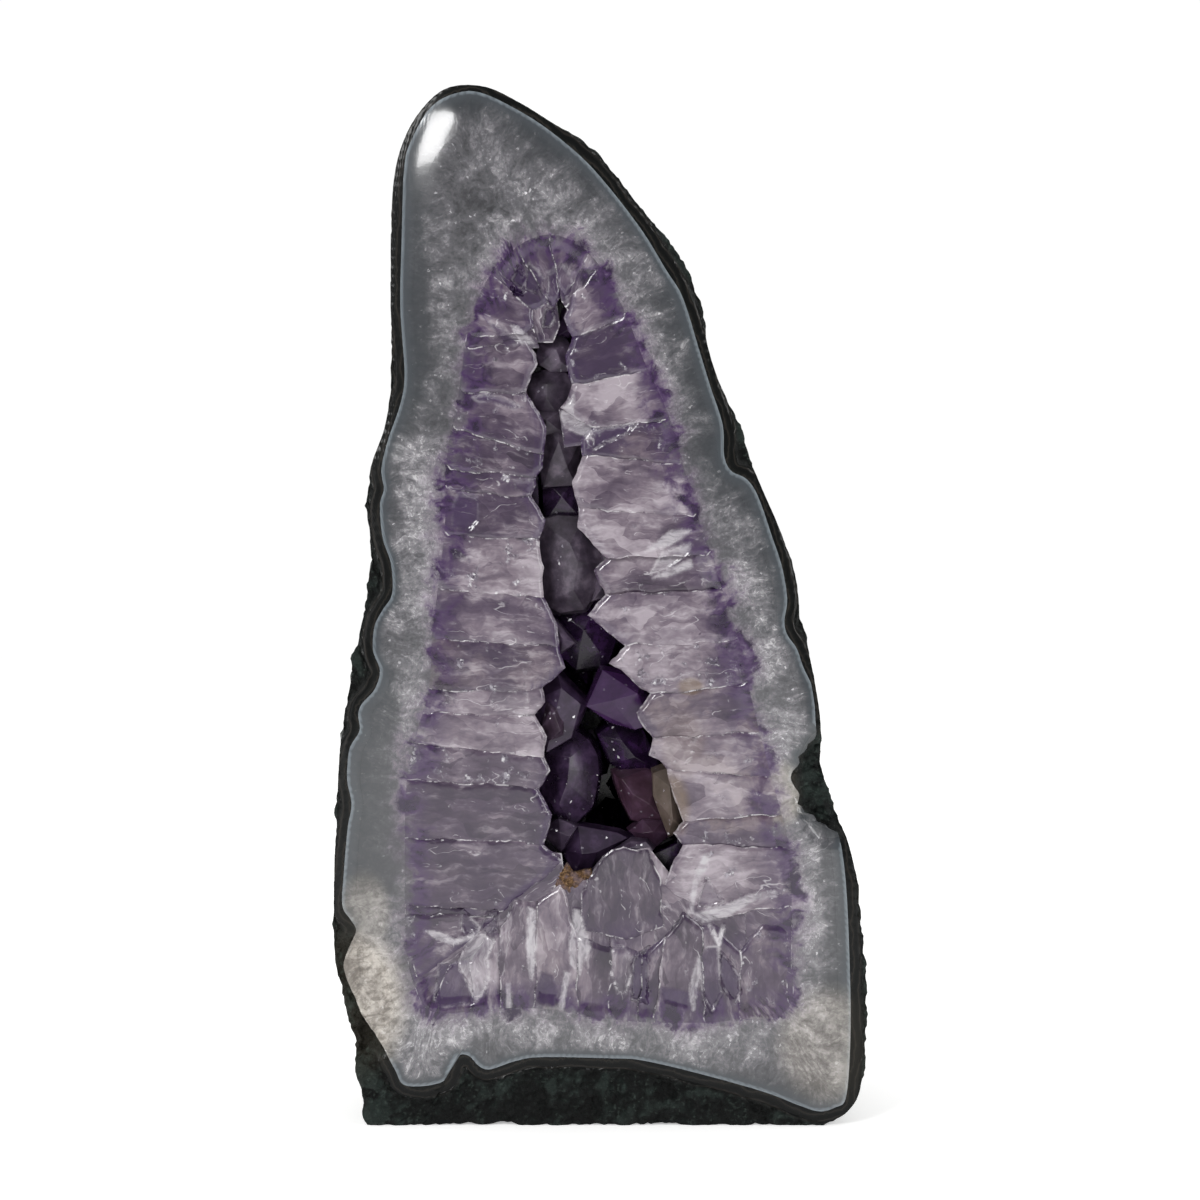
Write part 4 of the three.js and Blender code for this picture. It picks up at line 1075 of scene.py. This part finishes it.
def weatheredBasalt():
    # basalt, broken and weathered: matt green-black with paler grains; its polished edge turns to black and
    # brown agate in thin lines
    material, node = newMaterial("weatheredBasalt")
    grown, chip, raised, cream = (
        node("Attribute", attribute_name=key, out=2) for key in ("growth", "chip", "raised", "cream"))
    place = millimetres(node)
    mottle = node("TexNoise", place, 1 / basaltLook["mottle"], 6.0, 0.6)
    mineral = node("TexNoise", place, 1 / basaltLook["mineral"], 3.0, 0.6)
    pits = node("TexVoronoi", place, 1 / basaltLook["pits"])
    rock = node("ValToRGB", mottle, stops=basaltLook["tones"])
    # gas pits painted near-black: painted shade in the pits
    rock = node("Mix", node("MapRange", pits, 0.15, 0.6, 0.0, 0.75), rock, basaltLook["pitTone"])
    rock = node("Mix", node("MapRange", mineral, 0.54, 0.7, 0.0, 0.6), rock, basaltLook["grainTone"])
    # knobs are painted paler and the hollows between them darker: painted light and shade that brings out the
    # relief
    rock = node("Mix", node("MapRange", raised, 0.1, 0.8, 0.0, 0.4), rock, basaltLook["knobTone"])
    rock = node("Mix", node("MapRange", raised, -0.05, -0.6, 0.0, 0.8), rock, basaltLook["pitTone"])
    drift = node("Attribute", attribute_name="growthSpace", out=1)
    drift = node("TexNoise", drift, 1 / basaltLook["bandDrift"], 2.0)
    bands = node("Math MULTIPLY_ADD", drift, 2.2, node("Math DIVIDE", grown, -basaltLook["bandEvery"]))
    bands = node("ValToRGB", node("Math FRACT", bands), stops=basaltLook["bandTones"])
    # polished only near the agate, on the face, and where nothing is broken off
    shine = node("Math MULTIPLY", node("MapRange", grown, -6.0, -3.5), node("Math SUBTRACT", 1.0, chip))
    behind = node("SeparateXYZ", place, out=1)
    shine = node("Math MULTIPLY", shine, node("MapRange", behind, faceY + 9, faceY + 6))
    body = node("Mix", shine, rock, bands)
    body = node("Mix", node("Math MULTIPLY", cream, 0.12), body, basaltLook["dustTone"])
    height = node("Math MULTIPLY_ADD", mineral, 0.6, pits)
    height = node("Math MULTIPLY", height, node("Math SUBTRACT", 1.0, shine))
    bump = node("Bump", sockets={"Strength": 1.0, "Distance": 0.003, "Height": height})
    node("OutputMaterial", node("BsdfPrincipled", sockets={
        "Base Color": body, "Roughness": node("MapRange", shine, 0.0, 1.0, 0.6, 0.2), "IOR": 1.5,
        "Specular IOR Level": 0.18, "Normal": bump,
    }))
    return material


amethystLook = dict(
    cloud=12.0, streak=2.4, plane=5.5, crack=9.0,  # mm across: clouds, streaks, inner planes, healed cracks
    bruise=6.0,  # sugary bruises
    wander=8.0, warp=5.0,  # over what length and how far all of it wanders
    tones=[(0.32, "#281F2C"), (0.42, "#423645"), (0.5, "#594D5B"), (0.59, "#766A75"), (0.72, "#A59BA3")],
    violet="#3D2A4B", violetTo=15.0,  # mm from the root over which the violet fades
    veil="#B2ABB1", pale="#BBB7BC", line="#D6D2D6", tipTone="#38234A", seamTone="#2A2330",
    deepTones=("#200E2C", "#46305A"), brown=("#4A3A28", "#8A7350"),
    grains=[(0.1, "#3C3742"), (0.5, "#77717D"), (0.85, "#A7A3AC"), (0.97, "#F0EFF2")],
)


def sawnAmethyst():
    # amethyst, sawn through and polished: cloudy lilac with growth streaks, healed cracks and sugary bruises,
    # deep violet where it roots
    material, node = newMaterial("sawnAmethyst")
    look = bedColours(node)
    mist, wisp = look["mist"], look["wisp"]
    values = {key: node("Attribute", attribute_name=key, out=2) for key in (
        "shade", "violet", "veil", "sugar", "rust", "pale", "deep", "rim", "seam", "tip", "brown")}
    stray = node("TexNoise", look["place"], 1 / amethystLook["wander"], 2.0, out=1)
    stray = node("VectorMath SCALE", node("VectorMath SUBTRACT", stray, (0.5, 0.5, 0.5)),
                 sockets={"Scale": amethystLook["warp"]})
    crystal = node("VectorMath ADD", node("Attribute", attribute_name="crystalSpace", out=1), stray)
    streak, cloud, plane, crack = (
        node("VectorMath MULTIPLY", crystal, (1.0, along, 1.0)) for along in (0.14, 0.6, 0.45, 0.2))
    streak = node("TexNoise", streak, 1 / amethystLook["streak"], 5.0, 0.62)
    cloud = node("TexNoise", cloud, 1 / amethystLook["cloud"], 4.0, 0.6)
    # planes inside, each painted a little lighter or darker as if turned differently to the light: painted
    # light and shade
    plane = node("SeparateColor", node("TexVoronoi", plane, 1 / amethystLook["plane"], out=1))
    plane, shade = node("Math SUBTRACT", plane, 0.5), node("Math SUBTRACT", values["shade"], 0.2)
    haze = node("Math MULTIPLY", cloud, 0.7)
    for value, share in (
            (streak, 0.22), (plane, 0.13), (shade, 0.16), (values["veil"], 0.145), (values["violet"], -0.11)):
        haze = node("Math MULTIPLY_ADD", value, share, haze)
    body = node("ValToRGB", haze, stops=amethystLook["tones"])
    # the violet fades out from the root
    tint = node("Math MULTIPLY", values["violet"], node("MapRange", cloud, 0.62, 0.38, 0.15, 0.75))
    run = node("SeparateXYZ", crystal, out=1)
    rooty = node("MapRange", run, amethystLook["violetTo"], 1.0, 0.0, 0.75)
    rooty = node("Math MULTIPLY", rooty, node("MapRange", cloud, 0.62, 0.42, 0.25, 1.0))
    body = node("Mix", node("Math MAXIMUM", tint, rooty), body, amethystLook["violet"])
    # white veils along the crystal
    veil = node("Math MULTIPLY", node("MapRange", streak, 0.5, 0.68), node("MapRange", cloud, 0.4, 0.6))
    veil = node("Math MULTIPLY", veil, node("MapRange", values["veil"], 0.0, 0.7, 0.25, 0.8))
    body = node("Mix", veil, body, amethystLook["veil"])
    # healed cracks: thin lines where a slow noise crosses one of its levels
    crack = node("Math MULTIPLY", node("TexNoise", crack, 1 / amethystLook["crack"], 2.0), 4.0)
    level = node("Math ABSOLUTE", node("Math SUBTRACT", node("Math FRACT", crack), 0.5))
    thin = node("Math MULTIPLY", node("MapRange", level, 0.035, 0.0), node("MapRange", wisp, 0.48, 0.62))
    body = node("Mix", node("Math MULTIPLY", thin, 0.5), body, amethystLook["line"])
    # sugary bruises
    bruise = node("TexNoise", look["place"], 1 / amethystLook["bruise"], 3.0, 0.6)
    bruise = node("MapRange", node("Math MULTIPLY_ADD", values["sugar"], 0.2, bruise), 0.66, 0.78)
    grains = node("ValToRGB", look["grit"], stops=amethystLook["grains"])
    body = node("Mix", node("Math MULTIPLY", bruise, 0.7), body, grains)
    body = node("Mix", look["rooted"], look["body"], body)
    body = node("Mix", look["violet"], body, look["hue"])
    # rust, violet points, and the flakes and windows of the face
    rust = node("Math MULTIPLY", values["rust"], node("MapRange", cloud, 0.45, 0.6))
    rust = node("Math MULTIPLY", node("Math MAXIMUM", values["brown"], rust), 0.6)
    body = node("Mix", rust, body, node("Mix", look["fibre"], *amethystLook["brown"]))
    point = node("MapRange", node("Math MULTIPLY_ADD", wisp, 8.0, values["tip"]), 8.5, 4.0)
    point = node("Math MULTIPLY", point, node("MapRange", values["violet"], 0.05, 0.5, 0.1, 0.8))
    body = node("Mix", point, body, amethystLook["tipTone"])
    body = node("Mix", values["deep"], body, node("Mix", wisp, *amethystLook["deepTones"]))
    pale = node("Math MULTIPLY", values["pale"], node("MapRange", streak, 0.34, 0.62, 0.25, 1.0))
    body = node("Mix", pale, body, amethystLook["pale"])
    # seams: painted shade in the gaps in places, with broken bright rims along them and round the points
    shadow = node("Math MULTIPLY", node("MapRange", values["seam"], 0.9, 0.1),
                  node("MapRange", look["clump"], 0.5, 0.42))
    body = node("Mix", node("Math MULTIPLY", shadow, 0.7), body, amethystLook["seamTone"])
    joint = node("Math MULTIPLY", node("MapRange", values["seam"], 0.65, 0.1),
                 node("MapRange", mist, 0.49, 0.6))
    rim = node("Math MULTIPLY", values["rim"], node("MapRange", mist, 0.42, 0.6, 0.05, 0.9))
    lip = node("Math MULTIPLY", node("MapRange", values["tip"], 0.9, 0.2),
               node("MapRange", mist, 0.46, 0.64, 0.0, 0.6))
    rim = node("Math MAXIMUM", node("Math MAXIMUM", rim, node("Math MULTIPLY", joint, 0.75)), lip)
    body = node("Mix", rim, body, amethystLook["line"])
    height = node("Math MULTIPLY_ADD", streak, 0.4, node("Math MULTIPLY", look["grit"], bruise))
    bump = node("Bump", sockets={"Strength": 0.35, "Distance": 0.0006, "Height": height})
    node("OutputMaterial", node("BsdfPrincipled", sockets={
        **polishedFace, "Base Color": body, "Roughness": 0.18, "IOR": 1.544, "Subsurface Weight": 0.2,
        "Transmission Weight": 0.12, "Normal": bump,
    }))
    return material


grownLook = dict(
    cloud=6.5, speck=0.8,  # mm across its inner clouds, and its specks
    clearTones=[(0.3, "#0B0510"), (0.5, "#1E0F28"), (0.68, "#3A2149")],
    milkyTones=[(0.3, "#261E29"), (0.5, "#403744"), (0.68, "#655A68")],
    tints=dict(  # how strong, and the dark and pale end
        violet=(0.8, "#22102D", "#4C2B5D"), red=(0.6, "#2A1622", "#65424F"),
        brown=(0.8, "#33291F", "#75675A")),
    speckTone="#C9C4D2",
)


def grownAmethyst():
    # amethyst faces as they grew: the glassy ones nearly black, partly their own deep violet and partly
    # painted shade of the deep hollow; milky grey-violet near the light
    material, node = newMaterial("grownAmethyst")
    place = millimetres(node)
    values = {key: node("Attribute", attribute_name=key, out=2) for key in ("milky", *grownLook["tints"])}
    cloud = node("TexNoise", place, 1 / grownLook["cloud"], 4.0, 0.6)
    body = node("Mix", values["milky"], node("ValToRGB", cloud, stops=grownLook["clearTones"]),
                node("ValToRGB", cloud, stops=grownLook["milkyTones"]))
    for key, (strength, dark, bright) in grownLook["tints"].items():
        tint = node("Mix", cloud, dark, bright)
        body = node("Mix", node("Math MULTIPLY", values[key], strength), body, tint)
    # a few pale specks: painted glints
    speck = node("SeparateColor", node("TexVoronoi", place, 1 / grownLook["speck"], out=1))
    speck = node("Math MULTIPLY", node("MapRange", speck, 0.993, 0.998), 0.3)
    body = node("Mix", speck, body, grownLook["speckTone"])
    bump = node("Bump", sockets={"Strength": 0.3, "Distance": 0.0005, "Height": cloud})
    node("OutputMaterial", node("BsdfPrincipled", sockets={
        "Base Color": body, "IOR": 1.544,
        "Roughness": node("MapRange", values["milky"], 0.0, 1.0, 0.22, 0.42),
        "Specular IOR Level": 0.35, "Transmission Weight": 0.1, "Coat Weight": 0.06, "Coat Roughness": 0.03,
        "Normal": bump,
    }))
    return material


def paintedGlintQuartz():
    # quartz chips painted white to stand for glints: painted highlights
    material, node = newMaterial("brightQuartzFaces")
    cloud = node("TexNoise", millimetres(node), 1.0, 2.0)
    node("OutputMaterial", node("BsdfPrincipled", sockets={
        "Base Color": node("Mix", cloud, "#D8D5DE", "#FFFFFF"), "Roughness": 0.1, "IOR": 1.544,
        "Coat Weight": 1.0, "Coat Roughness": 0.03,
    }))
    return material


goethiteLook = dict(
    grain=0.9, patch=5.0,  # mm across the grains, and the greyer patches
    tones=[(0.32, "#271B12"), (0.47, "#4F3924"), (0.58, "#76593C"), (0.7, "#A08767")], patchTone="#6E5F66",
)


def goethite():
    # goethite, a dull grainy rust-brown crust
    material, node = newMaterial("goethiteCrust")
    place = millimetres(node)
    grain = node("TexNoise", place, 1 / goethiteLook["grain"], 5.0, 0.65)
    patch = node("TexNoise", place, 1 / goethiteLook["patch"], 2.0)
    body = node("ValToRGB", grain, stops=goethiteLook["tones"])
    body = node("Mix", node("MapRange", patch, 0.5, 0.65, 0.0, 0.6), body, goethiteLook["patchTone"])
    bump = node("Bump", sockets={"Strength": 1.0, "Distance": 0.001, "Height": grain})
    node("OutputMaterial", node("BsdfPrincipled", sockets={
        "Base Color": body, "Roughness": 0.85, "IOR": 1.5, "Specular IOR Level": 0.3, "Normal": bump,
    }))
    return material


def dress(material, *pieces):
    for piece in pieces:
        piece.data.materials.clear()
        piece.data.materials.append(material)


dress(weatheredBasalt(), rind)
dress(polishedStone("polishedChalcedony"), agate)
dress(polishedStone("polishedMilkyQuartz"), quartz)
dress(sawnAmethyst(), *sawn)
dress(grownAmethyst(), hollow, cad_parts["cavity_druse"])
dress(paintedGlintQuartz(), sparks)
dress(goethite(), crustPiece)
for piece in [rind, agate, quartz, hollow, sparks, crustPiece] + sawn:
    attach(piece, "root")
print("materials dressed")

studio = dict(
    floorSize=6.0, floorTones=("#F2F2F1", "#F6F6F5"), floorGlow=0.4,  # m across
    worldTone="#FFFFFF", worldBehind=1.02, worldInFront=0.42,
    lookAt=(0, -0.05, 0.2),
    lamps=dict(
        key=dict(at=(-0.83, -1.62, 1.04), size=(0.5, 0.6), power=17),
        leftEdge=dict(at=(-1.5, -1.1, 0.4), size=(0.5, 1.2), power=3),
        rightEdge=dict(at=(1.5, -0.7, 0.8), size=(0.3, 1.4), power=8),
    ),
)


def buildFloor():
    half = studio["floorSize"] * 1000 / 2
    corners = np.array([(-half, -half, 0), (half, -half, 0), (half, half, 0), (-half, half, 0)])
    floor = makePiece("studioFloor", corners, [(0, 1, 2, 3)])
    material, node = newMaterial("palePaper")
    fleck = node("TexNoise", millimetres(node), 1 / 40, 2.0)
    node("OutputMaterial", node("BsdfPrincipled", sockets={
        "Base Color": node("Mix", fleck, *studio["floorTones"]), "Roughness": 0.9,
        "Emission Color": studio["worldTone"], "Emission Strength": studio["floorGlow"],
    }))
    dress(material, floor)


def buildLight():
    # a white room, dimmer in front of the stone than behind it
    world = bpy.data.worlds.new("softStudio")
    world.use_nodes = True
    node = partial(addNode, world.node_tree)
    ahead = node("SeparateXYZ", node("TexCoord"), out=1)
    strength = node("MapRange", ahead, -0.8, 0.6, studio["worldInFront"], studio["worldBehind"])
    background = world.node_tree.nodes["Background"]
    background.inputs["Color"].default_value = colour(studio["worldTone"])
    world.node_tree.links.new(strength, background.inputs["Strength"])
    bpy.context.scene.world = world
    for name, spec in studio["lamps"].items():
        light = bpy.data.lights.new(name, "AREA")
        light.shape = "RECTANGLE"
        light.size, light.size_y = spec["size"]
        light.energy = spec["power"]
        lamp = bpy.data.objects.new(name, light)
        lamp.location = spec["at"]
        lamp.rotation_euler = (Vector(studio["lookAt"]) - lamp.location).to_track_quat("-Z", "Y").to_euler()
        bpy.context.scene.collection.objects.link(lamp)


view = dict(target=(0, -0.073, 0.1926), tall=0.436, lens=85, sensor=36, raised=2.0)


def placeCamera():
    data = bpy.data.cameras.new("camera")
    data.lens, data.sensor_width = view["lens"], view["sensor"]
    distance = view["tall"] * view["lens"] / view["sensor"]
    up = math.radians(view["raised"])
    target = Vector(view["target"])
    camera = bpy.data.objects.new("camera", data)
    camera.location = target + Vector((0, -math.cos(up), math.sin(up))) * distance
    camera.rotation_euler = (target - camera.location).to_track_quat("-Z", "Y").to_euler()
    bpy.context.scene.collection.objects.link(camera)
    bpy.context.scene.camera = camera
    bpy.context.scene.view_settings.view_transform = "Standard"


buildFloor()
buildLight()
placeCamera()
print("room and camera set")
